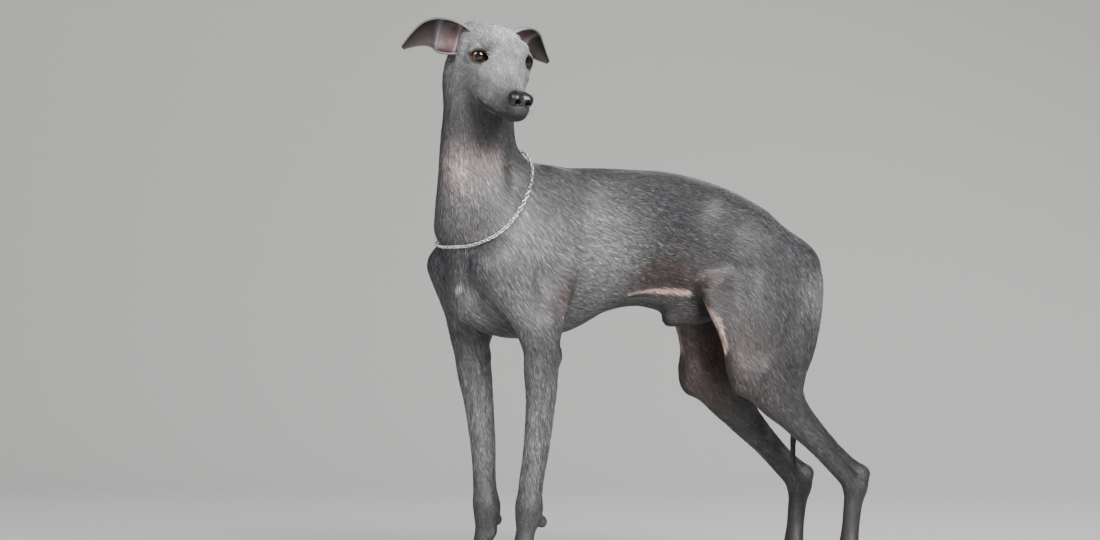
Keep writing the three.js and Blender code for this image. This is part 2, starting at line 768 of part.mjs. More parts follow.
function makeTorso() {
  const rooms = SIDES.flatMap(legRoom);
  const neckSide = beyond(NECK_CUT);
  const inRooms = rooms.map((room) => room.map((face) => beyond(face)));
  const far = (p) => {
    const depths = inRooms.map((faces) => Math.min(...faces.map((face) => face(p))));
    return Math.max(neckSide(p), ...depths);
  };
  const guides = [
    [0, -143, 262], [0, -100, 270], [0, -60, 276], [0, 20, 290], [0, 90, 282], [0, 158, 262],
  ];
  let shape = loft(clipped(fleshOf(TRUNK_REGIONS), far), spread(guides, 26), {
    axis: BACK, side: UP, count: 28, reach: 110, squash: 0.8, domes: [6, 3],
  });
  shape = behind(shape, NECK_CUT.at, NECK_CUT.normal);
  for (const room of rooms) {
    const blocks = room.map((face) => block(face.at, face.normal, -GAP / 2));
    shape = shape.subtract(blocks.reduce((a, b) => a.intersect(b)));
  }
  keep('torso', shape, COAT);
}

function makeNeck() {
  const below = beyond(NECK_CUT, -1);
  const above = beyond(HEAD_CUT);
  const field = clipped(fleshOf(['torso', 'neck', 'head']), (p) => Math.max(below(p), above(p)));
  const guides = [[0, -167, 282], [0, -152, 303], [0, -141, 335], [-2, -142, 380], [-5, -143, 432]];
  let shape = loft(field, spread(guides, 17), {
    axis: UP, side: BACK, count: 24, reach: 66, domes: [0, 2],
  });
  shape = ahead(shape, NECK_CUT.at, NECK_CUT.normal);
  shape = behind(shape, HEAD_CUT.at, HEAD_CUT.normal);
  keep('neck', shape, COAT);
}

// Legs are cast level by level, from the pastern up
function makeLeg(name, spec) {
  const { region, room, guides, levels, count, squash, less = [] } = spec;
  const faces = [...room, PASTERN_CUT];
  const depths = faces.map((face) => beyond(face, -1));
  const far = (p) => Math.max(...depths.map((depth) => depth(p)));
  const field = clipped(fleshOf(['torso', region]), far);
  let shape = loft(field, spread(guides, levels), {
    axis: UP, side: BACK, count, reach: 90, squash, domes: [0, 1],
  });
  for (const face of faces) shape = ahead(shape, face.at, face.normal);
  for (const other of less) shape = shape.subtract(other);
  keep(name, shape, COAT);
}
function makeForeleg(side) {
  const joint = JOINTS[side];
  const region = `foreleg_${SIDE_NAME[side]}`;
  const guides = [
    add(joint.carpus, [0, -1, -14]), joint.carpus, mix(joint.elbow, joint.carpus, 0.5),
    joint.elbow, [side * 38, joint.elbow[1] - 6, 216],
  ];
  makeLeg(region, {
    region, room: [foreCut(side), outward(side)], guides, levels: 16, count: 18, squash: 0.8,
  });
}
function makeHindleg(side) {
  const joint = JOINTS[side];
  const region = `hindleg_${SIDE_NAME[side]}`;
  const guides = [
    mix(joint.hock, joint.toeRoot, 0.5),
    add(joint.hock, [0, 0, -8]),
    add(joint.hock, [0, -14, 12]),
    add(mix(joint.hock, joint.stifle, 0.5), [0, 2, 0]),
    [side * 36, 122, 152],
    [side * 35, 118, 180],
    [side * 33, 114, 215],
    [side * 36, 117, 244],
    [side * 43, 122, 270],
  ];
  makeLeg(region, {
    region,
    room: [hindCut(side), FLANK_FRONT, outward(side)],
    guides,
    levels: 24,
    count: 22,
    squash: 0.5,
    less: [tailTube(GAP)],
  });
}

// A foot with its four claws, standing on a small flat sole
const CLAW_HALF = 1.7;
const CLAW_STEP = 2.3;
function makePaw(name, region, root, upper, scale) {
  const far = beyond(PASTERN_CUT);
  const field = clipped(fleshOf([region]), far);
  const at = (back, z) => [root[0], root[1] - back * scale, z];
  const guides = [
    at(9, -0.6), at(9, 5), at(8, 11), at(5, 20), at(1, 32), [upper[0], upper[1], 58],
  ];
  let shape = loft(field, spread(guides, 11), {
    axis: UP, side: BACK, count: 26, reach: 40, domes: [0, 0],
  });
  for (const toe of TOES) {
    const start = add(toeLine(root, toe, scale).tip, [0, 0.5, 1.2]);
    const claw = [0, 1, 2, 3].map((k) =>
      add(start, mul([0, -CLAW_STEP * k, 0.4 * k - 0.5 * k * k], scale)));
    shape = shape.add(tube(claw, [CLAW_HALF, 1.6, 1.2, 0.5], 5, X_AXIS));
  }
  shape = shape.intersect(block([0, 0, 0], UP));
  shape = behind(shape, PASTERN_CUT.at, PASTERN_CUT.normal);
  keep(name, shape, COAT);
}

// Thin tail that hangs between the thighs: x, y, z, half thickness
const TAIL = [
  [0, 180, 252, 6.8], [0, 187, 240, 6.4], [0, 187, 222, 5.8], [0, 182, 196, 5],
  [1, 174, 164, 4.2], [2, 168, 132, 3.4], [2, 166, 106, 2.6], [2, 168, 90, 1.6],
];
function tailTube(grown) {
  const rows = refine(TAIL, 2);
  return tube(rows.map((row) => row.slice(0, 3)), rows.map((row) => row[3] + grown), 10, X_AXIS);
}
function makeTail() {
  const rump = loft(fleshOf(['torso'], GAP), spread([[0, 110, 270], [0, 160, 262]], 8), {
    axis: BACK, side: UP, count: 30, reach: 96, squash: 0.8, domes: [0, 3],
  });
  keep('tail', tailTube(0).subtract(rump), COAT);
}

// A thin folded ear: a curved sheet that opens to the front and hangs at its tip
const EAR_HALF = 0.95;
const EAR_COLUMNS = 9;
function makeEar(side, grownHead) {
  const { opening, line } = EARS[side];
  const rows = refine(line.map((row) => [...inHead(...row.slice(0, 3)), ...row.slice(3)]), 2);
  const open = headTurned(opening);
  const rings = rows.map((row, i) => {
    const before = rows[Math.max(i - 1, 0)];
    const after = rows[Math.min(i + 1, rows.length - 1)];
    const axis = unit(sub(after.slice(0, 3), before.slice(0, 3)));
    const front = unit(sub(open, mul(axis, dot(open, axis))));
    const rise = cross(axis, front);
    const curl = radians(row[4]);
    const bend = row[3] / Math.sin(Math.min(curl, Math.PI / 2));
    const hinge = add(row.slice(0, 3), mul(front, bend * 0.6));
    const rim = (shift) =>
      Array.from({ length: EAR_COLUMNS + 1 }, (_, k) => {
        const angle = curl * (-1 + (2 * k) / EAR_COLUMNS);
        const out = add(mul(rise, Math.sin(angle)), mul(front, -Math.cos(angle)));
        return add(hinge, mul(out, bend + shift));
      });
    return [...rim(EAR_HALF), ...rim(-EAR_HALF).reverse()];
  });
  const middleOf = (ring) => mix(ring[4], ring[ring.length - 5], 0.5);
  const shape = closeRings(rings, middleOf(rings[0]), middleOf(rings[rings.length - 1]));
  keep(`ear_${SIDE_NAME[side]}`, shape.subtract(grownHead), COAT);
}
// Forward, left, up in the head, then half width and half curl in degrees
const EARS = {
  '-1': {
    opening: [0.9, -0.2, 0.12],
    line: [
      [-36, -20, -2, 9, 105],
      [-39, -30, -1.5, 13, 90],
      [-42, -41, -2.5, 14.5, 72],
      [-46, -50, -5.5, 12, 58],
      [-50, -58, -12.5, 7, 50],
      [-54, -67, -24, 1.5, 40],
    ],
  },
  1: {
    opening: [0.9, 0.2, -0.05],
    line: [
      [-36, 15, 4, 9, 105],
      [-38, 24, 6, 11, 92],
      [-40, 32, 4, 11, 76],
      [-43, 41, -3, 9, 62],
      [-46, 50, -10, 6, 50],
      [-48, 60, -17, 1.4, 40],
    ],
  },
};

// Skull and muzzle cast about the axis of the head
function headLoft(grown) {
  const below = beyond(HEAD_CUT, -1);
  const field = clipped(fleshOf(['head', 'neck'], grown), below);
  const guides = [
    inHead(-56, 0, -8), inHead(-30, 0, -6), inHead(-8, 0, -9), inHead(14, 0, -14), inHead(57, 0, -17),
  ];
  return loft(field, spread(guides, 28), {
    axis: FORWARD, side: CROWN, count: 34, reach: 60, domes: [2, 1],
  });
}
function sphere(at, radius, around, down) {
  const geometry = new THREE.SphereGeometry(radius, around, down);
  geometry.translate(...at);
  return fromGeometry(geometry);
}

// The almond of the open lids, as a spindle that points where the eye looks
const LID_OPEN = 6.9;
const LID_UPPER = 5.2;
const LID_LOWER = 4.7;
const LID_TILT = radians(7);
const LID_STEPS = 9;
function lidOpening(side) {
  const look = eyeLook(side);
  const across = unit(sub(LEFT, mul(look, dot(LEFT, look))));
  const high = cross(look, across);
  const along = add(mul(across, Math.cos(LID_TILT)), mul(high, side * Math.sin(LID_TILT)));
  const rise = cross(look, along);
  const half = (from, height) =>
    Array.from({ length: LID_STEPS }, (_, k) => {
      const t = from * (1 - (2 * k) / LID_STEPS);
      return [LID_OPEN * t, height * (1 - t * t) ** 0.62];
    });
  const rim = [...half(1, LID_UPPER), ...half(-1, -LID_LOWER)];
  const ringAt = (depth) =>
    rim.map(([x, y]) => add(eyeAt(side), add(mul(look, depth), add(mul(along, x), mul(rise, y)))));
  const end = (depth) => add(eyeAt(side), mul(look, depth));
  return closeRings([ringAt(1), ringAt(22)], end(1), end(22));
}

// The line where the lips meet, from the chin round to below the eye: forward, left, up, half height
const LIP_LINE = [
  [60, 0, -23.6, 0.6], [56, 5.5, -25.4, 0.6], [47, 9.2, -28.8, 0.6], [36, 12.2, -31, 0.6],
  [26, 15, -32.4, 0.6], [16, 17.8, -32.8, 0.4],
];
const LIP_DEEP = 1.6;
function mouthLine(side) {
  const rings = LIP_LINE.map(([f, l, u, half], i) => {
    const forward = i === 0 ? 1 : 0.4;
    const out = i === 0 ? FORWARD : unit(headTurned([forward * (f > 50 ? 1 : 0), side, -0.1]));
    const at = inHead(f, side * l, u);
    const deep = add(at, mul(out, -LIP_DEEP));
    const wide = add(at, mul(out, 14));
    const rise = mul(CROWN, half);
    return [add(deep, rise), sub(deep, rise), sub(wide, rise), add(wide, rise)];
  });
  const middleOf = (ring) => mul(ring.reduce((sum, p) => add(sum, p), [0, 0, 0]), 1 / ring.length);
  return closeRings(rings, middleOf(rings[0]), middleOf(rings[rings.length - 1]));
}

// Nose leather with its two nostrils
const NOSE_UP = -9.6;
const NOSE_FACE = 55;
mass('nose', 1, inHead(57, 0, NOSE_UP), [7.5, 9.8, 7], headTurned);
mass('nose', 4, inHead(60, 0, NOSE_UP - 3), [5, 6.5, 6], headTurned);
for (const side of SIDES) {
  mass('nose', 3, inHead(59.5, side * 5.4, NOSE_UP + 0.5), [6.4, 4.6, 5.4], headTurned);
}
function noseLoft(grown) {
  const middle = spread([inHead(53, 0, NOSE_UP - 1), inHead(60, 0, NOSE_UP - 1)], 4);
  return loft(fleshOf(['nose'], grown), middle, {
    axis: FORWARD, side: CROWN, count: 20, reach: 20, domes: [0, 4],
  });
}
const NOSTRIL = [
  [68, 3.8, 0, 1.9], [63.2, 4.6, -0.2, 1.8], [60.5, 6.6, -1.2, 1.3], [60.5, 11.5, -2.4, 0.9],
];
function makeNose() {
  let shape = noseLoft(0);
  for (const side of SIDES) {
    const run = NOSTRIL.map(([f, l, u]) => inHead(f, side * l, NOSE_UP + u));
    shape = shape.subtract(tube(run, NOSTRIL.map((row) => row[3]), 8, CROWN));
  }
  keep('nose', ahead(shape, inHead(NOSE_FACE, 0, 0), FORWARD), HORN);
}
function makeHead() {
  let shape = ahead(headLoft(0), HEAD_CUT.at, HEAD_CUT.normal);
  const seat = noseLoft(GAP).intersect(block(inHead(NOSE_FACE, 0, 0), FORWARD, -GAP / 2));
  shape = shape.subtract(seat);
  for (const side of SIDES) {
    shape = shape.subtract(sphere(eyeAt(side), EYE_RADIUS + GAP, 16, 12));
    shape = shape.subtract(lidOpening(side));
    shape = shape.subtract(mouthLine(side));
    keep(`eye_${SIDE_NAME[side]}`, sphere(eyeAt(side), EYE_RADIUS - 0.05, 16, 12), WET);
  }
  keep('head', shape, COAT);
}

// Fine chain collar that hangs low on the neck, from the withers round to the chest
const CHAIN_HALF = 1.6;
const CHAIN_CLEAR = 1.3;
const CHAIN_FRONT = 279;
const CHAIN_RISE = 70;
const CHAIN_SAG = 2.3;
const CHAIN_TILT = 2.3;
// The far side hangs a little higher, drawn up by the turned head
const CHAIN_SWAY = 9;
const CHAIN_LINKS = 60;
const CHAIN_SIDES = 4;
function makeCollar() {
  const field = fleshOf(TRUNK_REGIONS);
  const count = CHAIN_LINKS * 2;
  const clear = CHAIN_HALF * 1.2 + CHAIN_CLEAR;
  const points = Array.from({ length: count }, (_, k) => {
    const angle = (2 * Math.PI * k) / count;
    const share = (1 + Math.cos(angle)) / 2;
    const lift = CHAIN_RISE * share ** CHAIN_SAG;
    const sway = CHAIN_SWAY * Math.max(0, -Math.sin(angle));
    const centre = [0, -138 + 10 * share, CHAIN_FRONT + lift * 0.37 + sway];
    const ray = unit([Math.sin(angle), Math.cos(angle), (CHAIN_TILT * lift) / CHAIN_RISE]);
    return add(centre, mul(ray, castOut((p) => field(p) - clear, centre, ray, 90)));
  });
  const rings = points.map((p, k) => {
    const axis = unit(sub(points[(k + 1) % count], points[(k + count - 1) % count]));
    const out = unit(sub(UP, mul(axis, dot(UP, axis))));
    const over = cross(axis, out);
    const half = CHAIN_HALF * (k % 2 ? 0.8 : 1.15);
    return Array.from({ length: CHAIN_SIDES }, (_, j) => {
      const angle = (2 * Math.PI * j) / CHAIN_SIDES;
      return add(p, mul(add(mul(out, Math.cos(angle)), mul(over, Math.sin(angle))), half));
    });
  });
  const at = (k, j) => (k % count) * CHAIN_SIDES + (j % CHAIN_SIDES);
  const faces = [];
  for (let k = 0; k < count; k += 1) {
    for (let j = 0; j < CHAIN_SIDES; j += 1) {
      faces.push([at(k, j + 1), at(k, j), at(k + 1, j + 1)]);
      faces.push([at(k + 1, j + 1), at(k, j), at(k + 1, j)]);
    }
  }
  keep('collar_chain', facingOut(rings.flat(), faces), STEEL);
}

makeTorso();
makeNeck();
for (const side of SIDES) {
  const joint = JOINTS[side];
  const name = SIDE_NAME[side];
  makeForeleg(side);
  makeHindleg(side);
  makePaw(`forepaw_${name}`, `foreleg_${name}`, joint.knuckle, joint.carpus, 1);
  makePaw(`hindpaw_${name}`, `hindleg_${name}`, joint.toeRoot, joint.hock, 0.94);
}
makeTail();
makeHead();
makeNose();
const grownHead = headLoft(GAP);
for (const side of SIDES) makeEar(side, grownHead);
makeCollar();

// The frame's origin is on the floor, under the middle of the whole
group.children.forEach((mesh) => mesh.geometry.translate(...MIDDLE, 0));

export default group;
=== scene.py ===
# %% [markdown]
# # A small sighthound, dressed
#
# The solids of a small standing sighthound come in as a frame, already at their real size. This lesson
# puts a living surface on them: one skin without seams, a short lying coat, wet eyes, a leather nose,
# thin folded ears, horn claws and a fine chain. Places are in millimetres, those of the head from a
# point between the eyes and most of those of the legs from their joints. A mesh is made in metres.

# %% Load the solids
import math
import time
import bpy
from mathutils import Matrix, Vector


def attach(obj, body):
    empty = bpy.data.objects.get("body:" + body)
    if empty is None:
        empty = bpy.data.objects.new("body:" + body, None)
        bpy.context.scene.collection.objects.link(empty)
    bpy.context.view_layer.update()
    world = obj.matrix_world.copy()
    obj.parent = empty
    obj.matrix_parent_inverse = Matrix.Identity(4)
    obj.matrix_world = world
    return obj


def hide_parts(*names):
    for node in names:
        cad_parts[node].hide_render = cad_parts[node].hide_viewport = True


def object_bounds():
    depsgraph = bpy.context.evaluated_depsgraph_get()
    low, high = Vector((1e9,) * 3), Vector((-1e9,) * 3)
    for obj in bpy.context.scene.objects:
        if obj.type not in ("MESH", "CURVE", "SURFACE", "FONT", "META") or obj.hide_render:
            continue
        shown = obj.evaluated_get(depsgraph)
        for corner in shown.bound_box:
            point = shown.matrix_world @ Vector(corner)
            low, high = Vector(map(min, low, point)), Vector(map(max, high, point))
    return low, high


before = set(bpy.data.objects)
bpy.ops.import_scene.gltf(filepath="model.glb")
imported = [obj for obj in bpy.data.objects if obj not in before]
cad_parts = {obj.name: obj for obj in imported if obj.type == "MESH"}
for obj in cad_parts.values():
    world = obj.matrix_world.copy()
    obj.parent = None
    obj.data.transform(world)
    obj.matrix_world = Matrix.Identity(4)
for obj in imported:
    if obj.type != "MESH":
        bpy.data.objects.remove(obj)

from concurrent.futures import ThreadPoolExecutor

import bpy
import numpy as np
import openvdb
from mathutils import Matrix

STARTED = time.time()
CAD_BOX = [list(corner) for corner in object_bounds()]
print("the solids reach from", CAD_BOX[0], "to", CAD_BOX[1])


def clock(what):
    print(f"{what}, {time.time() - STARTED:.0f} s in")


# %% [markdown]
# ## The camera
#
# The picture was taken from low down, well in front of the dog and to its left, with a long lens. A
# camera can be placed by eye, but here it follows from a few readings: how far round the dog it stands,
# how far away, how high, and where the horizon and the dog fall in a picture 1100 pixels wide.

# %% Camera
PICTURE = (1100, 540)
CAMERA_ROUND = math.radians(59)
CAMERA_FAR = 3.0
CAMERA_HIGH = 0.215
FOCAL_PIXELS = 3540
DOG_COLUMN = 628
HORIZON_ROW = 325
SENSOR_WIDE = 36
MIDDLE = np.array([-25.1, -7.5, 0.0])


def to_metres(points):
    return (np.asarray(points, float) + MIDDLE) * 0.001


def from_round(turn, lift=0.0):
    """The way from the dog to a place this far round it and this far up."""
    return np.array([math.sin(turn) * math.cos(lift), -math.cos(turn) * math.cos(lift), math.sin(lift)])


BACK = from_round(CAMERA_ROUND)
RIGHT = np.array([-BACK[1], BACK[0], 0.0])


def stand(data, axes, place):
    """An object for a camera or a light, with its three axes and its place."""
    holder = bpy.data.objects.new(data.name, data)
    turned = Matrix(np.stack(axes, axis=1).tolist()).to_4x4()
    turned.translation = place.tolist()
    holder.matrix_world = turned
    bpy.context.scene.collection.objects.link(holder)
    return holder


def make_camera():
    turn = math.atan((DOG_COLUMN - PICTURE[0] / 2) / FOCAL_PIXELS)
    lift = math.atan((HORIZON_ROW - PICTURE[1] / 2) / FOCAL_PIXELS)
    level = -BACK * math.cos(turn) - RIGHT * math.sin(turn)
    across = RIGHT * math.cos(turn) - BACK * math.sin(turn)
    ahead = level * math.cos(lift) + np.array([0, 0, math.sin(lift)])
    place = BACK * CAMERA_FAR + MIDDLE * 0.001 + np.array([0, 0, CAMERA_HIGH])
    data = bpy.data.cameras.new("camera")
    data.sensor_width = SENSOR_WIDE
    data.lens = SENSOR_WIDE * FOCAL_PIXELS / PICTURE[0]
    bpy.context.scene.camera = stand(data, [across, np.cross(across, ahead), -ahead], place)
    return bpy.context.scene.camera


camera = make_camera()
print("lens", round(camera.data.lens, 1), "mm, at", [round(v, 3) for v in camera.location])

# %% [markdown]
# ## Flesh as soft bodies
#
# A smooth animal can be sculpted by hand, or grown from a cage that is subdivided. Here it is a field:
# a function that says how deep any point lies in the flesh. It is a sum of simple soft bodies, each a
# run of oval sections or one rounded mass, and each melts into those before it over its own blend
# width. The muscles then join the way real ones do, and any part can be measured at any point.

# %% Small helpers
SIDES = (1, -1)
SIDE_NAME = {1: "left", -1: "right"}
X_AXIS = np.array([1.0, 0, 0])
UP = np.array([0, 0, 1.0])


def vec(*numbers):
    return np.array(numbers, float)


def unit(v):
    v = np.asarray(v, float)
    return v / np.maximum(np.linalg.norm(v, axis=-1, keepdims=True), 1e-9)


def mix(a, b, t):
    return a * (1 - t) + b * t


def refine(stations, steps=4):
    rows = np.asarray(stations, float)
    last = len(rows) - 1
    out = []
    for i in range(last):
        a, b, c, d = (rows[min(max(k, 0), last)] for k in (i - 1, i, i + 1, i + 2))
        for s in range(steps):
            t = s / steps
            bend = 2 * a - 5 * b + 4 * c - d + (3 * b - a - 3 * c + d) * t
            out.append(b + 0.5 * t * (c - a + t * bend))
    out.append(rows[last])
    return np.array(out)


# %% Soft bodies
FLESH = []
LINES = []
FAR = 60.0


def oval(x, y, z, a, b, c):
    """About how far a point lies outside an ellipsoid."""
    k0 = np.sqrt((x / a) ** 2 + (y / b) ** 2 + (z / c) ** 2)
    k1 = np.sqrt((x / a**2) ** 2 + (y / b**2) ** 2 + (z / c**2) ** 2)
    return k0 * (k0 - 1) / np.maximum(k1, 1e-9)


def run_of(stations, across):
    """The depth function of a run of oval sections, and its rows."""
    rows = refine(stations) if len(stations) > 2 else np.array(stations, float)
    links = []
    for first, last in zip(rows[:-1], rows[1:]):
        along = last[:3] - first[:3]
        axis = unit(along)
        side = unit(across - axis * (axis @ across))
        turned = np.stack([side, np.cross(axis, side), axis], axis=1)
        link = (first[:3], turned, np.linalg.norm(along), first[3:], last[3:])
        links.append([np.float32(part) for part in link])

    def depth(p):
        best = np.full(len(p), np.inf, np.float32)
        for start, turned, length, first, last in links:
            q = (p - start) @ turned
            t = np.clip(q[:, 2] / length, 0, 1)
            w = first[0] + (last[0] - first[0]) * t
            d = first[1] + (last[1] - first[1]) * t
            end = np.minimum(w, d)
            best = np.minimum(best, oval(q[:, 0], q[:, 1], q[:, 2] - t * length, w, d, end))
        return best

    return depth, rows


def limb(region, blend, stations, across=X_AXIS):
    depth, rows = run_of(stations, across)
    thick = rows[:, 3:].max(axis=1, keepdims=True)
    low = (rows[:, :3] - thick).min(axis=0)
    high = (rows[:, :3] + thick).max(axis=0)
    FLESH.append((region, blend, depth, low, high))


def mass(region, blend, middle, halves, axes=np.eye(3)):
    def depth(p):
        q = (p - np.float32(middle)) @ np.float32(axes).T
        return oval(q[:, 0], q[:, 1], q[:, 2], *halves)

    most = max(halves)
    FLESH.append((region, blend, depth, middle - most, middle + most))


def line_distance(p, rows):
    nearest = np.full(len(p), np.inf)
    for first, last in zip(rows[:-1], rows[1:]):
        along = last - first
        q = p - first
        t = np.clip(q @ along / (along @ along), 0, 1)
        nearest = np.minimum(nearest, np.linalg.norm(q - t[:, None] * along, axis=1))
    return nearest


def relief(region, height, width, points):
    """A raised or sunken line: a vein, a tendon, a fold."""
    rows = refine(points, 3) if len(points) > 2 else np.array(points, float)
    reach = 2.6 * width
    LINES.append((region, height, width, rows, rows.min(axis=0) - reach, rows.max(axis=0) + reach))


# %% Depth in the flesh
WORKERS = ThreadPoolExecutor(4)
SHARE = 20000


def in_shares(depth, points):
    """The same depths, worked out by a few workers at once."""
    parts = np.array_split(points, max(1, len(points) // SHARE))
    return np.concatenate(list(WORKERS.map(depth, parts)))


def box_gap(p, low, high):
    return np.maximum(low - p, p - high).max(axis=1)


def flesh_depth(points, regions):
    points = np.asarray(points, np.float32)
    d = np.full(len(points), FAR, np.float32)
    for region, blend, depth, low, high in FLESH:
        if region not in regions:
            continue
        near = np.flatnonzero(box_gap(points, low, high) < np.clip(d, 0, FAR) + blend)
        if len(near) == 0:
            continue
        e = depth(points[near])
        h = np.maximum(blend - np.abs(d[near] - e), 0) / blend
        d[near] = np.minimum(d[near], e) - h * h * blend / 4
    for region, height, width, rows, low, high in LINES:
        if region not in regions:
            continue
        near = np.flatnonzero((np.abs(d) < 12) & (box_gap(points, low, high) < 0))
        if len(near):
            d[near] -= height * np.exp(-((line_distance(points[near], rows) / width) ** 2))
    return d


# %% [markdown]
# ## The joints, and the frame of the head
#
# A drawing of a dog starts with its joints. The left feet of this one stand a little behind the right
# ones, so each joint has one distance from the middle, and a place along and up for each side. The head
# has axes of its own: it is turned to the dog's left and held a little down, so all that belongs to it
# is measured forward, left and up from a point between the eyes.

# %% Joints and head axes
JOINT_TABLE = {
    "blade": (17, (-80, 334), (-86, 334)),
    "shoulder": (35, (-146, 262), (-152, 262)),
    "elbow": (37, (-100, 198), (-126, 198)),
    "carpus": (31, (-113, 66), (-119, 65)),
    "knuckle": (31, (-121, 24), (-124, 24)),
    "hip": (29, (138, 272), (138, 272)),
    "stifle": (38, (100, 170), (96, 169)),
    "hock": (36, (208, 78), (198, 76)),
    "heel": (36, (217, 88), (207, 86)),
    "toe_root": (36, (201, 24), (192, 24)),
}
JOINTS = {
    1: {name: vec(out, *left) for name, (out, left, _) in JOINT_TABLE.items()},
    -1: {name: vec(-out, *right) for name, (out, _, right) in JOINT_TABLE.items()},
}
HEAD_AT = vec(50, -148.5, 432)
HEAD_TURN = math.radians(79.5)
HEAD_DOWN = math.radians(28)
HEAD_ROLL = math.radians(6.3)
LEVEL = vec(math.sin(HEAD_TURN), -math.cos(HEAD_TURN), 0)
FORWARD = LEVEL * math.cos(HEAD_DOWN) - UP * math.sin(HEAD_DOWN)
EVEN = unit(np.cross(UP, LEVEL))
LEFT = EVEN * math.cos(HEAD_ROLL) - np.cross(FORWARD, EVEN) * math.sin(HEAD_ROLL)
CROWN = np.cross(FORWARD, LEFT)
HEAD_AXES = np.stack([FORWARD, LEFT, CROWN])


def in_head(forward, left, up):
    return HEAD_AT + FORWARD * forward + LEFT * left + CROWN * up


def head_turned(v):
    return np.asarray(v, float) @ HEAD_AXES


def head_points(rows, side=1):
    return np.array([in_head(f, side * l, u) for f, l, u in rows])


def head_limb(blend, rows, side=1):
    limb("head", blend, [(*in_head(f, side * l, u), w, d) for f, l, u, w, d in rows], LEFT)


def sided(side, rows):
    """Rows given for the left, turned to the side."""
    return [(side * x, *rest) for x, *rest in rows]


def along_bone(start, end, side, rows):
    """Stations given along a bone: share of its length, backward, outward, half sizes out and deep."""
    axis = unit(end - start)
    out = unit(vec(side, 0, 0) - axis * (side * axis[0]))
    back = np.cross(X_AXIS, axis)
    rear = back if back[1] >= 0 else -back
    return [(*(mix(start, end, t) + rear * b + out * o), w, d) for t, b, o, w, d in rows]


# %% [markdown]
# ## Trunk and neck
#
# A sighthound's trunk is a deep keel of a chest, an arched loin and a strongly tucked belly. Side muscles
# are laid beside the spine and over the croup, so the back is never one plain tube.

# %% Trunk and neck
def build_trunk():
    middle = lambda rows: [(0, *row) for row in rows]
    limb("torso", 8, middle([
        (-142, 270, 24, 44), (-118, 280, 32, 58), (-90, 284, 38, 60), (-60, 287, 43, 57),
        (-30, 292, 43, 52), (0, 296, 39, 46), (25, 295, 34, 47), (50, 291, 32, 47), (80, 284, 33, 47),
        (110, 276, 34, 41), (140, 266, 31, 32), (160, 258, 21, 21),
    ]))
    limb("torso", 26, middle([
        (-146, 243, 15, 28), (-126, 232, 18, 26), (-96, 228, 20, 24), (-66, 233, 20, 23.5),
        (-38, 247, 19, 22), (-8, 258, 18, 21),
    ]))
    limb("torso", 14, middle([
        (-22, 248, 13, 13), (8, 243, 12, 11), (34, 238, 11, 11), (60, 237, 10, 11), (84, 239, 10, 11),
    ]))
    mass("torso", 20, vec(0, -153, 258), (18, 11, 26))
    for side in SIDES:
        limb("torso", 16, sided(side, [
            (11, -70, 330, 10, 12), (13, -20, 333, 12, 11), (14, 40, 331, 13, 11), (14, 85, 319, 13, 11),
            (14, 120, 303, 12, 11),
        ]))
        limb("torso", 18, sided(side, [
            (20, 74, 306, 12, 16), (26, 106, 288, 15, 22), (27, 138, 268, 16, 22), (21, 160, 250, 13, 16),
        ]))
    limb("torso", 12, [(0, 160, 270, 12, 12), (0, 178, 257, 9, 9), (0, 185, 247, 6.6, 6.6)])
    limb("torso", 14, [
        (0, 98, 236, 9, 10), (0, 72, 225, 8.5, 9), (0, 50, 221.5, 7.5, 8), (0, 40, 219, 5, 5.4),
    ])
    for side in SIDES:
        relief("torso", -2.2, 7, sided(side, [(45, -93, 272), (45, -94, 247), (46, -93, 226)]))
        relief("torso", -1.8, 5, sided(side, [(20, -163, 252), (17, -154, 233), (11, -134, 215)]))
        relief("torso", -1.5, 5, sided(side, [(42, -145, 236), (34, -138, 221), (22, -126, 211)]))
        relief("torso", -1.8, 4, sided(side, [
            (14, -15, 240), (13, 10, 238), (13, 35, 236), (15, 55, 233),
        ]))


def build_neck():
    limb("neck", 30, [
        (0, -112, 300, 30, 40), (0, -129, 318, 29, 39), (0, -137, 338, 27, 34), (-1, -141, 362, 26, 30),
        (-3, -142.5, 392, 25.5, 29.5), (-5, -144, 420, 24, 29), (-3, -143, 440, 21, 24),
    ])
    limb("neck", 16, [
        (12, -158, 412, 10, 10), (2, -166, 372, 10, 11), (-2, -166, 330, 12, 13), (-4, -166, 296, 15, 14),
    ])
    for side in SIDES:
        relief("neck", -1.8, 6, sided(side, [
            (22, -127, 363), (29, -129, 339), (38, -136, 308), (38, -149, 291),
        ]))


# %% [markdown]
# ## Legs and toes
#
# Each leg is a chain of bones with its muscles round them: heavy near the body, only skin, bone and
# tendon below. The toes are arched and set close, like a hare's foot.

# %% Legs
TOES = ((-9, 16, -2), (-3.6, 22, -0.6), (3.6, 22, 0.6), (9, 16, 2))
TOE_ARCH = 7
TOE_HALF = 4.4
HIND_PAW = 0.94


def toe_line(root, toe, scale):
    across, reach, spread = toe

    def at(t, up):
        over = (across * (0.75 + 0.25 * t) + spread * t) * scale
        return vec(root[0] + over, root[1] - reach * t * scale, up * scale)

    return at(0, 19), at(0.45, 17 + TOE_ARCH * 0.3), at(0.8, 11), at(1, 6)


def build_toes(region, root, scale):
    for toe in TOES:
        start, knuckle, bend, tip = toe_line(root, toe, scale)
        limb(region, 2, [
            (*start, TOE_HALF * scale, 6 * scale), (*knuckle, TOE_HALF * scale, 5.6 * scale),
            (*bend, TOE_HALF * scale, 5.4 * scale), (*tip, 4.2 * scale, 4.6 * scale),
        ])
        mass(region, 3, tip + vec(0, 3, -2.6), (4.3 * scale, 6.4 * scale, 5 * scale))
    mass(region, 6, vec(root[0], root[1] - 4, 6.5), (11 * scale, 11 * scale, 8 * scale))


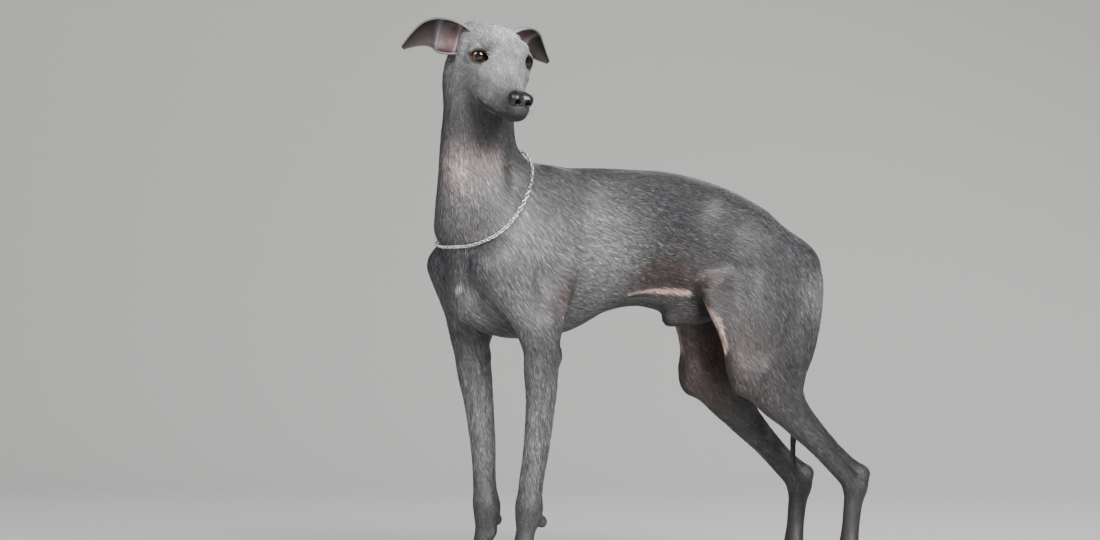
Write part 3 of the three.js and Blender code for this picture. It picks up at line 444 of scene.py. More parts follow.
def build_foreleg(side):
    joint = JOINTS[side]
    bone = lambda start, end, rows: along_bone(joint[start], joint[end], side, rows)
    region = "foreleg_" + SIDE_NAME[side]
    limb("torso", 20, bone("blade", "shoulder", [
        (0.04, 2, 0, 7, 14), (0.4, 4, 3, 10, 22), (0.75, 2, 3, 12, 22), (1, 2, 0, 13, 20),
    ]))
    limb("torso", 14, bone("shoulder", "elbow", [
        (-0.05, 2, 0, 13, 19), (0.4, 0, 1, 12, 18), (0.8, 0, 0, 12, 16),
    ]))
    blade_edge = mix(joint["blade"], joint["shoulder"], 0.45) + vec(side * 6, 24, -10)
    limb("torso", 14, along_bone(blade_edge, joint["elbow"] + vec(0, 5, 2), side, [
        (0, 0, 0, 9, 15), (0.5, -1, 1, 11, 14), (0.95, -7, 0, 9, 9),
    ]))
    limb(region, 12, bone("elbow", "carpus", [
        (-0.12, -8, 0, 12, 12.5), (0.0, -6.5, 0.5, 12, 13.8), (0.15, -3.5, 0.5, 11.5, 15.5),
        (0.34, -1, 0.5, 10.3, 13), (0.62, 0, 0, 8.8, 11.2), (0.84, -1, 0, 8.8, 10),
        (0.97, -1, 0, 10.8, 10.4), (1.06, 0, 0, 9.6, 9.4),
    ]))
    mass(region, 6, joint["elbow"] + vec(side, 6, -8), (6.5, 7, 8.5))
    limb(region, 8, bone("carpus", "knuckle", [
        (0.05, 0, 0, 9.6, 8.8), (0.5, 0, 0, 8.6, 7.6), (1, 0, 0, 10.5, 8.6),
    ]))
    mass(region, 4, joint["carpus"] + vec(side * 2, 10.5, -13), (4.2, 4.2, 5))
    dew = joint["carpus"] + vec(-side * 9, 1, -22)
    limb(region, 4, [
        (*(dew + vec(side * 2, 0, 9)), 3.2, 3.6), (*dew, 3, 3.4),
        (*(dew + vec(-side * 0.5, -2.5, -5)), 2.4, 2.6),
    ])
    down = lambda t, out, rear: mix(joint["elbow"], joint["carpus"], t) + vec(side * out, rear, 0)
    relief(region, -1.2, 3.5, [down(0.12, 11, -4), down(0.35, 8.5, -5), down(0.62, 6, -7)])
    relief(region, 0.8, 3, [down(0.25, 7, 9), down(0.6, 4, 10), down(0.9, 2, 10)])
    relief(region, 0.7, 2.2, [down(0.2, 6, -14), down(0.5, 3, -12), down(0.85, -3, -10)])
    build_toes(region, joint["knuckle"], 1)


def build_hindleg(side):
    joint = JOINTS[side]
    bone = lambda start, end, rows: along_bone(joint[start], joint[end], side, rows)
    region = "hindleg_" + SIDE_NAME[side]
    limb(region, 18, bone("hip", "stifle", [
        (0.0, -14, 2, 15, 34), (0.35, -8, 3, 17, 34), (0.7, 3, 2, 16, 28), (0.95, 4, 0, 12, 17),
    ]))
    limb(region, 20, sided(side, [
        (27, 147, 262, 17, 24), (29, 150, 232, 17, 26), (32, 144, 200, 16, 24), (35, 134, 172, 14, 20),
        (36, 130, 150, 11, 16),
    ]))
    mass(region, 10, joint["stifle"] + vec(0, -9, 1), (9, 9.5, 14))
    limb(region, 14, sided(side, [
        (27, 68, 250, 8, 14), (30, 77, 228, 8, 14), (33, 85, 205, 9, 12), (36, 90, 184, 10, 13),
    ]))
    relief(region, -2.4, 6, sided(side, [(51, 148, 248), (53, 132, 223), (54, 128, 198), (51, 138, 177)]))
    relief(region, -1.8, 8, sided(side, [(42, 92, 262), (42, 88, 240), (46, 90, 212), (50, 98, 186)]))
    relief(region, 1.2, 4, sided(side, [(31, 58, 236), (34, 68, 216), (35, 77, 198)]))
    limb(region, 14, bone("stifle", "hock", [
        (0.0, 4, 0, 13, 18), (0.2, 5, 0.5, 12.5, 18), (0.42, 3, 0.5, 10.5, 14.5), (0.65, 1, 0, 8.6, 10),
        (0.85, -1, 0, 7.8, 8.4), (1.0, -1, 0, 9, 9),
    ]))
    shin = lambda t, out, *rest: mix(joint["stifle"], joint["hock"], t) + vec(side * out, *rest)
    limb(region, 6, [
        (*shin(0.3, 0, 6, 10), 6, 8), (*shin(0.55, 0, 7.5, 8.5), 4.4, 5.2),
        (*shin(0.8, 0, 7.5, 8), 3.4, 3.8), (*(joint["heel"] + vec(0, -2, 0)), 4.8, 5),
    ])
    limb(region, 8, [
        (*(joint["heel"] + vec(0, -2, -3)), 5.6, 6.2), (*(joint["hock"] + vec(0, 1, -4)), 8, 9.6),
        (*mix(joint["hock"], joint["toe_root"], 0.35), 7.4, 8.4),
        (*mix(joint["hock"], joint["toe_root"], 0.7), 7.6, 7.6), (*joint["toe_root"], 10, 8),
    ])
    relief(region, 0.9, 2, [shin(0.2, 12, 2, 14), shin(0.45, 10, 2, 8), shin(0.75, 8, -2, 2)])
    relief(region, -1.6, 5, [shin(0.45, 9, 12, 11), shin(0.9, 7, 7, 9)])
    build_toes(region, joint["toe_root"], HIND_PAW)


TAIL = (
    (0, 180, 252, 6.8), (0, 187, 240, 6.4), (0, 187, 222, 5.8), (0, 182, 196, 5), (1, 174, 164, 4.2),
    (2, 168, 132, 3.4), (2, 166, 106, 2.6), (2, 168, 90, 1.6),
)


def build_tail():
    limb("tail", 5, [(*row, row[3]) for row in TAIL])


# %% [markdown]
# ## The head
#
# The skull is long and narrow, with a shallow stop, flat cheeks and a fine muzzle. The brow, the lids,
# the lips and the corner of the mouth are what give the animal its look, so they get most of the work.

# %% Head
EYE_OUT = 17.7
EYE_DEEP = -7.8
EYE_UP = -3.6
EYE_LOOK = 0.37
EYE_RAISED = 0.36
LID_OPEN = 7.1
LID_UPPER = 4.5
LID_LOWER = 4.3
LID_TILT = math.radians(7)
CREASE_OUT = 11.6
LIP_LINE = (
    (60, 0, -23.6), (56, 5.5, -25.4), (47, 9.2, -28.8), (36, 12.2, -31), (26, 15, -32.4), (16, 17.8, -32.8),
)


def eye_at(side):
    return in_head(EYE_DEEP, side * EYE_OUT, EYE_UP)


def eye_axes(side):
    """Along the lids, across them, and out where the eye looks."""
    look = unit(head_turned((1, side * EYE_LOOK, EYE_RAISED)))
    across = unit(LEFT - look * (LEFT @ look))
    high = np.cross(look, across)
    along = across * math.cos(LID_TILT) + high * (side * math.sin(LID_TILT))
    return along, np.cross(look, along), look


def build_head():
    head_limb(10, [
        (-55, 0, -9, 18, 13), (-42, 0, -5, 23.5, 16.5), (-26, 0, -1.5, 25.5, 18.5),
        (-10, 0, -1.5, 22, 18), (4, 0, -6, 18, 16),
    ])
    head_limb(12, [
        (4, 0, -12.5, 18.5, 15.5), (16, 0, -14.5, 15.5, 14), (34, 0, -16.8, 12.3, 12.2),
        (50, 0, -18, 10.4, 10.8), (58, 0, -18, 9.4, 9.6),
    ])
    head_limb(6, [
        (-14, 0, -28, 17, 11), (5, 0, -31, 16, 10.5), (20, 0, -31, 14, 9.5), (34, 0, -29.2, 10.5, 7.4),
        (50, 0, -27.2, 7.4, 5.6),
    ])
    for side in SIDES:
        mass("head", 10, in_head(-24, side * 18, -18), (16, 9, 15), HEAD_AXES)
        head_limb(7, [(8, 17.5, -11, 4, 4), (-10, 24, -13, 4, 5), (-30, 24, -8, 4, 6)], side)
        mass("head", 7, in_head(-2, side * 13.5, 10), (9, 6.5, 5), HEAD_AXES)
        mass("head", 4, eye_at(side), (11.4, 11.4, 11.4))
        head_limb(8, [
            (52, 6.6, -24, 3.4, 4), (36, 9.6, -26.5, 3.6, 4.4), (20, 12.6, -27, 3.4, 4.4),
            (2, 14.5, -24, 3, 4), (-14, 15, -18, 2.4, 3),
        ], side)
        head_limb(12, [(-22, 17, -20, 7, 12), (0, 13, -21, 6, 11), (22, 9, -21, 4.5, 8)], side)
        mass("head", 10, in_head(-42, side * 17, 1), (10, 8, 10), HEAD_AXES)
        relief("head", -1.5, 0.9, head_points(LIP_LINE, side))
    relief("head", -0.8, 3.5, head_points([(8, 0, 6), (-12, 0, 17), (-28, 0, 18)]))


build_trunk()
build_neck()
for side in SIDES:
    build_foreleg(side)
for side in SIDES:
    build_hindleg(side)
build_tail()
build_head()


def lid_crease(side):
    """A shallow fold over the upper lid, on the flesh that covers the eye."""
    along, rise, look = eye_axes(side)
    places = ((-8.5, 2.5), (-4.5, 7.2), (0.5, 8.4), (5.5, 6.8), (8.5, 2.5))
    deep = [math.sqrt(CREASE_OUT**2 - x * x - y * y) for x, y in places]
    rows = [eye_at(side) + along * x + rise * y + look * z for (x, y), z in zip(places, deep)]
    relief("head", -0.7, 1.1, rows)


for side in SIDES:
    lid_crease(side)
print(len(FLESH), "soft bodies and", len(LINES), "lines")

# %% [markdown]
# ## The nose leather, and what is cut out of the head
#
# The nose is a separate body of leather with two nostrils. The lids are made by cutting an almond well
# into the flesh over each eye: the eyeball fills the well from behind, and the rim that is left is the
# edge of the lids. A soft maximum does the cutting, so the edges come out round.

# %% Nose and wells
NOSE_UP = -9.6
NOSE_SUNK = 0.6
NOSTRIL = ((68, 4.0, 0, 2.4), (63.2, 4.8, -0.2, 2.2), (60.5, 6.8, -1.4, 1.5), (60.5, 11.5, -2.6, 1.0))
WELL_BACK = 3.5
NOSE_AT = in_head(57, 0, NOSE_UP)
EDGE_SOFT = 0.8
ALMOND = 0.62
mass("nose", 1, NOSE_AT, (7.5, 9.8, 7), HEAD_AXES)
mass("nose", 4, in_head(60, 0, NOSE_UP - 3), (5, 6.5, 6), HEAD_AXES)
for side in SIDES:
    mass("nose", 3, in_head(59.5, side * 5.4, NOSE_UP + 0.5), (6.4, 4.6, 5.4), HEAD_AXES)
relief("nose", -0.7, 0.7, head_points([(67, 0, NOSE_UP + 1), (66, 0, NOSE_UP - 6), (62, 0, NOSE_UP - 11)]))


def soft_max(a, b, width):
    h = np.maximum(width - np.abs(a - b), 0) / width
    return np.maximum(a, b) + h * h * width / 4


def lid_gap(points, side):
    """How far a point lies outside the almond between the lids, and how far out along the look."""
    along, rise, look = eye_axes(side)
    q = points - eye_at(side)
    x, y, z = q @ along, q @ rise, q @ look
    inside = np.clip(1 - (x / LID_OPEN) ** 2, 0, 1)
    half = np.where(y > 0, LID_UPPER, LID_LOWER) * inside**ALMOND
    gap = np.where(np.abs(x) < LID_OPEN, np.abs(y) - half, np.hypot(np.abs(x) - LID_OPEN, y))
    return gap, z


def nose_depth(points):
    d = flesh_depth(points, ("nose",))
    for side in SIDES:
        rows = [(*in_head(f, side * l, NOSE_UP + u), r, r) for f, l, u, r in NOSTRIL]
        hole, _ = run_of(rows, CROWN)
        d = soft_max(d, -hole(points), 1.0)
    return d


# %% Coat depth
SKIN_REGIONS = (
    "torso", "neck", "head", "tail", "foreleg_left", "foreleg_right", "hindleg_left", "hindleg_right",
)
COAT_DEPTH = 0.8
FACE_DEPTH = 0.25
FACE_REACH = (95, 45)
FEET_REACH = (110, 45)
SOLE_HIGH = 0.2
EYE_NEAR = 18
NOSE_NEAR = 20
NOSE_BARE = 22


def smooth_step(low, high, x):
    t = np.clip((x - low) / (high - low), 0, 1)
    return t * t * (3 - 2 * t)


def shortness(p):
    """From 0 where the coat is fullest to 1 on the muzzle and the toes."""
    q = (p - HEAD_AT) @ HEAD_AXES.T
    face = smooth_step(*FACE_REACH, np.linalg.norm(q - vec(18, 0, -8), axis=1))
    feet = smooth_step(*FEET_REACH, p[:, 2])
    return np.maximum(face, feet)


def coat_depth(p):
    return mix(COAT_DEPTH, FACE_DEPTH, shortness(p))


def skin_depth(points):
    d = flesh_depth(points, SKIN_REGIONS) + coat_depth(points)
    for side in SIDES:
        near = np.flatnonzero(np.linalg.norm(points - eye_at(side), axis=1) < EYE_NEAR)
        if len(near):
            gap, z = lid_gap(points[near], side)
            d[near] = soft_max(d[near], -np.maximum(gap, WELL_BACK - z), EDGE_SOFT)
    near = np.flatnonzero(np.linalg.norm(points - NOSE_AT, axis=1) < NOSE_NEAR)
    if len(near):
        seat = flesh_depth(points[near], ("nose",)) + NOSE_SUNK
        d[near] = soft_max(d[near], -seat, EDGE_SOFT)
    return soft_max(d, SOLE_HIGH - points[:, 2], EDGE_SOFT)


# %% [markdown]
# ## From the field to a mesh
#
# A volume grid turns a field into a mesh of even quads. An even grid fine enough for the lids would be
# huge, so the planes of this grid stand close together only where the head and the feet are, and the
# field is worked out only near the surface, which a first coarse grid finds. Each vertex is then moved
# along its normal on to the field, so the mesh is as true as the numbers above.

# %% Grid and mesh
COARSE = 5.0
BAND = 4.0


def planes(low, high, step, spans):
    at, out = low, []
    while at < high:
        out.append(at)
        close = [fine for first, last, fine in spans if first <= at < last]
        at += close[0] if close else step
    return np.array(out)


def weights(ticks, even):
    """A matrix that reads an evenly spaced row at uneven places."""
    at = (ticks - even[0]) / (even[1] - even[0])
    k = np.clip(at.astype(int), 0, len(even) - 2)
    table = np.zeros((len(ticks), len(even)), np.float32)
    rows = np.arange(len(ticks))
    table[rows, k] = 1 - (at - k)
    table[rows, k + 1] = at - k
    return table


def field_mesh(depth, axes):
    even = [np.arange(a[0] - COARSE, a[-1] + 2 * COARSE, COARSE) for a in axes]
    grid = np.stack(np.meshgrid(*even, indexing="ij"), axis=-1).reshape(-1, 3)
    rough = in_shares(depth, grid).astype(np.float32).reshape([len(e) for e in even])
    values = rough
    for k in range(3):
        values = np.moveaxis(np.tensordot(weights(axes[k], even[k]), values, axes=(1, k)), 0, k)
    close = np.argwhere(np.abs(values) < BAND)
    values = np.ascontiguousarray(np.where(values > 0, BAND, -BAND), np.float32)
    points = np.stack([axes[k][close[:, k]] for k in range(3)], axis=1)
    values[tuple(close.T)] = in_shares(depth, points)
    volume = openvdb.FloatGrid()
    volume.copyFromArray(values)
    found, quads = volume.convertToQuads(isovalue=0.0)
    ticks = [np.interp(found[:, k], np.arange(len(axes[k])), axes[k]) for k in range(3)]
    return np.stack(ticks, axis=1), quads.astype(np.int64)


def keep_largest(points, quads):
    label = np.arange(len(points))
    while True:
        least = label[quads].min(axis=1)
        new = label.copy()
        np.minimum.at(new, quads.ravel(), np.repeat(least, 4))
        new = new[new]
        if np.array_equal(new, label):
            break
        label = new
    names, counts = np.unique(label, return_counts=True)
    kept = label == names[counts.argmax()]
    place = np.cumsum(kept) - 1
    return points[kept], place[quads[kept[quads[:, 0]]]]


def face_normals(points, quads):
    a, b = points[quads[:, 2]] - points[quads[:, 0]], points[quads[:, 3]] - points[quads[:, 1]]
    return np.cross(a, b)


def vertex_normals(points, quads):
    normals = face_normals(points, quads)
    out = np.stack([
        np.bincount(quads.ravel(), np.repeat(normals[:, k], 4), len(points)) for k in range(3)
    ], axis=1)
    return unit(out)


def settled(points, quads, depth, rounds=2):
    middle = points[quads].mean(axis=1)
    if (face_normals(points, quads) * middle).sum() < 0:
        quads = quads[:, ::-1].copy()
    for _ in range(rounds):
        points = points - vertex_normals(points, quads) * in_shares(depth, points)[:, None]
    return points, quads


# %% Make the skin
SKIN_PLANES = (
    planes(-56, 110, 2.1, [(12, 108, 1.15)]),
    planes(-190, 226, 2.4, [(-190, -112, 1.15), (160, 226, 1.5)]),
    planes(-3, 472, 2.4, [(-3, 36, 1.15), (374, 472, 1.05)]),
)
skin_points, skin_quads = field_mesh(skin_depth, SKIN_PLANES)
skin_points, skin_quads = keep_largest(skin_points, skin_quads)
skin_points, skin_quads = settled(skin_points, skin_quads, skin_depth)
skin_normals = vertex_normals(skin_points, skin_quads)
print("skin of", len(skin_points), "points and", len(skin_quads), "quads")
clock("skin meshed")


# %% Mesh objects
def mesh_object(name, points, faces, material, paint=None):
    mesh = bpy.data.meshes.new(name)
    mesh.vertices.add(len(points))
    mesh.vertices.foreach_set("co", to_metres(points).astype(np.float32).ravel())
    mesh.loops.add(faces.size)
    mesh.loops.foreach_set("vertex_index", faces.astype(np.int32).ravel())
    mesh.polygons.add(len(faces))
    mesh.polygons.foreach_set("loop_start", np.arange(0, faces.size, faces.shape[1], dtype=np.int32))
    mesh.polygons.foreach_set("use_smooth", np.ones(len(faces), bool))
    mesh.update(calc_edges=True)
    if paint is not None:
        layer = mesh.color_attributes.new("paint", "FLOAT_COLOR", "POINT")
        colours = np.concatenate([paint, np.ones((len(paint), 1))], axis=1)
        layer.data.foreach_set("color", colours.astype(np.float32).ravel())
    mesh.materials.append(material)
    piece = bpy.data.objects.new(name, mesh)
    bpy.context.scene.collection.objects.link(piece)
    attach(piece, "root")
    return piece


# %% [markdown]
# ## Materials
#
# A small class turns shader maths into plain sums. Each value that runs through a material is wrapped,
# and a sum of two of them adds the Math node that works it out.

# %% Shader sums
class Shade:
    """One output socket of the material that is being written."""

    tree = None

    def __init__(self, socket):
        self.socket = socket

    @classmethod
    def node(cls, kind, settings=None, values=None, out=0):
        made = cls.tree.nodes.new(kind)
        for name, value in (settings or {}).items():
            if name == "stops":
                cls.set_stops(made.color_ramp, value)
            else:
                setattr(made, name, value)
        cls.plug(made, values or {})
        return Shade(made.outputs[out])

    @classmethod
    def plug(cls, node, values):
        """Set or link some inputs of a node."""
        for name, value in values.items():
            if isinstance(value, Shade):
                cls.tree.links.new(value.socket, node.inputs[name])
            else:
                node.inputs[name].default_value = value

    @staticmethod
    def set_stops(ramp, stops):
        while len(ramp.elements) < len(stops):
            ramp.elements.new(1.0)
        for element, (place, colour) in zip(ramp.elements, stops):
            element.position = place
            element.color = (*colour, 1.0)

    def __add__(self, other):
        return Shade.node("ShaderNodeMath", {"operation": "ADD"}, {0: self, 1: other})

    def __mul__(self, other):
        return Shade.node("ShaderNodeMath", {"operation": "MULTIPLY"}, {0: self, 1: other})

    __radd__ = __add__
    __rmul__ = __mul__

    def tinted(self, amount):
        """This colour, made lighter or darker by a value."""
        grey = Shade.node("ShaderNodeCombineColor", None, {"Red": amount, "Green": amount, "Blue": amount})
        return Shade.node("ShaderNodeMix", {"data_type": "RGBA", "blend_type": "MULTIPLY"}, {
            0: 1.0, 6: self, 7: grey,
        }, 2)


def new_material(name):
    material = bpy.data.materials.new(name)
    material.use_nodes = True
    Shade.tree = material.node_tree
    return material, material.node_tree.nodes["Principled BSDF"]


def attribute(name, out=0):
    return Shade.node("ShaderNodeAttribute", {"attribute_name": name}, None, out)


def place_of():
    return Shade.node("ShaderNodeTexCoord", None, None, 3)


def noise(scale, detail=3.0, roughness=0.5, vector=None):
    values = {"Scale": scale, "Detail": detail, "Roughness": roughness, "Vector": vector or place_of()}
    return Shade.node("ShaderNodeTexNoise", None, values)


def bump(height, strength, distance):
    values = {"Height": height, "Strength": strength, "Distance": distance}
    return Shade.node("ShaderNodeBump", None, values)


def stretched(scale):
    """The object's own coordinates, drawn out along one way."""
    return Shade.node("ShaderNodeMapping", None, {"Vector": place_of(), "Scale": scale})


# %% Coat materials
def skin_material():
    material, shader = new_material("short_coat_skin")
    paint = attribute("paint")
    patches = noise(60, 4, 0.6)
    hairs = noise(1.0, 4, 0.65, stretched((900, 260, 420)))
    Shade.plug(shader, {
        "Base Color": paint.tinted(0.62 + 0.3 * patches + 0.35 * hairs),
        "Roughness": 0.45 + 0.25 * hairs,
        "Normal": bump(hairs, 0.5, 0.0006),
        "Specular IOR Level": 0.5,
    })
    return material


def hair_material():
    material, shader = new_material("short_coat_hair")
    Shade.plug(shader, {
        "Base Color": attribute("paint"),
        "Roughness": 0.48,
        "Specular IOR Level": 0.5,
    })
    return material


SKIN = skin_material()
HAIR = hair_material()

# %% [markdown]
# ## Colour of the coat
#
# The coat is a blue slate grey. It is silvery where the hair is thick, and lighter still, partly by its own
# tone and partly by painted highlight, on the forehead, muzzle, a cheek, the neck, chest, shoulders, ribs,
# forearms and rump. It is warm and brown where the hair is so thin that the skin shows, and nearly black
# round the eyes, on the lips and, as painted shade, in the folds. Painted shade darkens the base of the
# neck, the throat under the jaw and the underside of the belly, and a band along the back that is partly
# the coat's own darker saddle. Both the skin and the hairs ask the same function for their colour, so they
# always agree.

# %% Colour
SLATE = vec(0.039, 0.039, 0.043)
SILVER_AND_SHEEN = vec(0.236, 0.232, 0.240)
DARK_AND_SHADE = vec(0.022, 0.019, 0.020)
THIN = vec(0.270, 0.222, 0.212)
BROWN = vec(0.052, 0.031, 0.028)
PINK = vec(0.50, 0.34, 0.31)
BLACK = vec(0.010, 0.009, 0.009)
SKIN_SHADE = 0.8
TAIL_DARK = 0.6
SPINE_DARK = 0.7
RIM_PINK = 0.7
LIPS_DARK = 0.95
SPINE = ((0, -85, 345), (0, -20, 345), (0, 60, 340), (0, 110, 325), (0, 165, 275))
LIP_FRONT = ((66.5, 0, -22), (63.5, 4.5, -23.3), (57.5, 8.4, -25.8))
FLANK_RIM = (
    (19, -14, 241), (16, 7, 243), (12, 35, 244), (14, 52, 242), (26, 60, 236), (34, 68, 216), (35, 76, 196),
)


def mottle(p, size, seed):
    """Smooth random values from 0 to 1, blobs of about the given size."""
    table = np.random.default_rng(seed).random((32, 32, 32))
    q = np.asarray(p) / size + 1000
    i = np.floor(q).astype(int)
    f = q - i
    f = f * f * (3 - 2 * f)
    out = np.zeros(len(q))
    for corner in np.ndindex(2, 2, 2):
        share = np.prod(np.where(corner, f, 1 - f), axis=1)
        out += share * table[tuple(((i + corner) % 32).T)]
    return out


def spot(p, middle, reach):
    return np.exp(-(((p - middle) ** 2).sum(axis=1) / reach**2))


def layered(colour, layers):
    for tone, share in layers:
        colour = mix(colour, tone, share[:, None])
    return colour


def marks():
    """Where, how far it reaches, its colour, and how strong it is."""
    rows = [
        # lighter on the forehead, the top of the muzzle and one cheek: partly the coat's own tone, partly
        # painted highlight
        (in_head(-20, 0, 12), 30, SILVER_AND_SHEEN * 1.8, 0.9),
        (in_head(22, 0, -2), 26, SILVER_AND_SHEEN * 1.1, 0.65),
        (in_head(-22, -24, -20), 20, SILVER_AND_SHEEN * 1.3, 0.65),
        (in_head(10, 0, -24), 24, SILVER_AND_SHEEN, 0.45),
        # lighter on the front of the neck: partly the coat's own tone, partly painted highlight
        (vec(20, -158, 330), 20, SILVER_AND_SHEEN, 0.3),
        # painted shade at the base of the neck
        (vec(24, -160, 292), 24, DARK_AND_SHADE, 0.55),
        (in_head(-3, -16, -14), 5, DARK_AND_SHADE, 0.35),
        (vec(59, -165, 441), 5, DARK_AND_SHADE, 0.65),
        (vec(45, -172, 416), 3.5, SILVER_AND_SHEEN, 0.6),
        # painted shadow on the throat under the jaw
        (in_head(-5, 0, -44), 20, DARK_AND_SHADE, 0.7),
        (vec(15, -168, 346), 17, THIN, 0.75),
        (vec(27, -147, 352), 11, THIN, 0.6),
        (vec(26, -134, 345), 5, DARK_AND_SHADE, 0.6),
        # the next two rows are lighter on the front of the chest: partly the coat's own tone, partly
        # painted highlight
        (vec(0, -172, 300), 22, SILVER_AND_SHEEN, 0.12),
        (vec(20, -160, 236), 26, SILVER_AND_SHEEN, 0.3),
        (vec(9, -168, 247), 3.2, SILVER_AND_SHEEN * 2, 0.8),
        # the next three rows: painted shade under the belly
        (vec(0, 15, 232), 26, DARK_AND_SHADE, 0.75),
        (vec(0, 45, 222), 22, DARK_AND_SHADE, 0.8),
        (vec(0, 85, 226), 22, DARK_AND_SHADE, 0.7),
        (vec(0, 38, 215), 7, BLACK, 0.7),
        (in_head(58, 0, -14), 11, DARK_AND_SHADE, 0.8),
        (in_head(52, 0, -31), 12, DARK_AND_SHADE, 0.6),
        (in_head(64, -2, -26), 6, BLACK, 0.75),
    ]
    for side in SIDES:
        joint = JOINTS[side]
        rows += [
            # the next five rows are lighter on the ribs, the shoulder, the upper arm, the rump and the
            # forearm: partly the coat's own tone, partly painted highlight
            (vec(side * 40, -50, 282), 40, SILVER_AND_SHEEN, 0.55),
            (vec(side * 45, -118, 284), 30, SILVER_AND_SHEEN, 0.6),
            (vec(side * 45, -124, 236), 26, SILVER_AND_SHEEN, 0.35),
            (vec(side * 40, 165, 245), 24, SILVER_AND_SHEEN, 0.5),
            (mix(joint["elbow"], joint["carpus"], 0.5), 55, SILVER_AND_SHEEN, 0.24),
            (vec(side * 30, 5, 256), 15, BROWN, 0.7),
            (vec(side * 28, 32, 256), 16, BROWN, 0.8),
            (vec(side * 31, 55, 252), 13, BROWN, 0.6),
            (vec(side * 44, -86, 240), 12, BROWN, 0.75),
            (vec(side * 42, -80, 222), 12, THIN, 0.5),
            (vec(side * 22, 88, 190), 30, BROWN, 0.85),
            (vec(side * 22, 100, 150), 26, BROWN, 0.6),
            (joint["hock"], 50, DARK_AND_SHADE, 0.4),
            (joint["toe_root"], 40, DARK_AND_SHADE, 0.4),
            (in_head(-2, side * 9, 8), 5, DARK_AND_SHADE, 0.6),
        ]
    return rows


MARKS = marks()


def coat_colour(p):
    """The colour at any point of the coat."""
    layers = [(tone, strength * spot(p, middle, reach)) for middle, reach, tone, strength in MARKS]
    layers.append((DARK_AND_SHADE, TAIL_DARK * smooth_step(12, 4, line_distance(p, np.array(TAIL)[:, :3]))))
    # a darker band along the back: partly the coat's own darker saddle, partly painted shade
    layers.append((DARK_AND_SHADE, SPINE_DARK * smooth_step(42, 8, line_distance(p, np.array(SPINE, float)))))
    on_left = p * vec(0, 1, 1) + np.abs(p) * X_AXIS
    layers.append((PINK, RIM_PINK * smooth_step(4, 1, line_distance(on_left, refine(FLANK_RIM)))))
    patch = 0.88 + 0.14 * mottle(p, 26, 3) + 0.08 * mottle(p, 6, 4)
    colour = layered(np.tile(SLATE, (len(p), 1)), layers) * patch[:, None]
    dark = []
    for side in SIDES:
        gap, z = lid_gap(p, side)
        dark.append(smooth_step(3.2, 1.5, gap) * (np.abs(z - 9) < 6))
        lips = head_points(LIP_FRONT + LIP_LINE[2:], side)
        dark.append(LIPS_DARK * smooth_step(3.9, 1.8, line_distance(p, lips)))
    dark.append(smooth_step(4, 1, p[:, 2]))
    return layered(colour, [(BLACK, share) for share in dark])


skin = mesh_object("skin", skin_points, skin_quads, SKIN, coat_colour(skin_points) * SKIN_SHADE)
PAIRED = ("foreleg", "hindleg", "forepaw", "hindpaw")
paired = [f"{part}_{SIDE_NAME[side]}" for part in PAIRED for side in SIDES]
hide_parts("torso", "neck", "head", "tail", *paired)
clock("skin painted")

# %% [markdown]
# ## An unwrap of the skin
#
# The skin is cut and laid flat once, so that its colours can be baked to a flat picture. Each hair later
# takes a tiny patch of that picture, at the place where its root stands.

# %% Unwrap
def unwrap(piece):
    bpy.context.view_layer.objects.active = piece
    piece.select_set(True)
    bpy.ops.object.mode_set(mode="EDIT")
    bpy.ops.mesh.select_all(action="SELECT")
    bpy.ops.uv.smart_project(angle_limit=math.radians(70), island_margin=0.001)
    bpy.ops.object.mode_set(mode="OBJECT")
    piece.select_set(False)
    layer = piece.data.uv_layers.active
    layer.name = "OFBake"
    flat = np.zeros(2 * len(piece.data.loops), np.float32)
    layer.data.foreach_get("uv", flat)
    return flat.reshape(-1, 4, 2)


skin_flat = unwrap(skin)
clock("skin unwrapped")

# %% [markdown]
# ## The lie of the coat
#
# Hair lies from the nose back over the skull, down the neck, back along the ribs and down each leg. Each
# stretch of bone has a direction, and a hair takes the mean of those near it, pressed flat to the skin.

# %% Lie of the coat
def streams():
    """Start, end, direction and reach of each stretch."""
    rows = [
        (in_head(60, 0, -14), in_head(-2, 0, -8), -FORWARD + 0.15 * CROWN, 22),
        (in_head(-2, 0, -4), in_head(-50, 0, -4), -FORWARD - 0.1 * CROWN, 30),
        (vec(-4, -144, 425), vec(0, -132, 340), vec(0, 0.12, -1), 34),
        (vec(0, -125, 330), vec(0, -95, 320), vec(0, 0.9, -0.7), 36),
        (vec(0, -160, 330), vec(0, -165, 250), vec(0, 0.1, -1), 26),
        (vec(0, -80, 320), vec(0, 150, 290), vec(0, 1, -0.25), 50),
        (vec(0, -80, 270), vec(0, 90, 270), vec(0, 1, -0.5), 60),
        (vec(0, -140, 230), vec(0, 60, 240), vec(0, 1, -0.15), 26),
        (vec(0, 180, 252), vec(0, 187, 222), vec(0, 0.2, -1), 14),
        (vec(0, 182, 196), vec(2, 168, 90), vec(0, -0.15, -1), 12),
    ]
    for side in SIDES:
        joint = JOINTS[side]
        rows += [
            (joint["blade"], joint["shoulder"], vec(0, 0.35, -1), 30),
            (joint["shoulder"], joint["elbow"], vec(0, 0.8, -1), 26),
            (joint["elbow"], joint["carpus"], vec(0, 0.12, -1), 18),
            (joint["carpus"], joint["knuckle"], vec(0, -0.1, -1), 14),
            (joint["knuckle"], joint["knuckle"] + vec(0, -20, -14), vec(0, -1, -0.7), 13),
            (joint["hip"], joint["stifle"], vec(0, 0.25, -1), 40),
            (joint["stifle"], joint["hock"], joint["hock"] - joint["stifle"], 22),
            (joint["hock"], joint["toe_root"], vec(0, -0.1, -1), 14),
            (joint["toe_root"], joint["toe_root"] + vec(0, -20, -14), vec(0, -1, -0.7), 13),
        ]
    return [(a, b, unit(way), reach) for a, b, way, reach in rows]


STREAMS = streams()


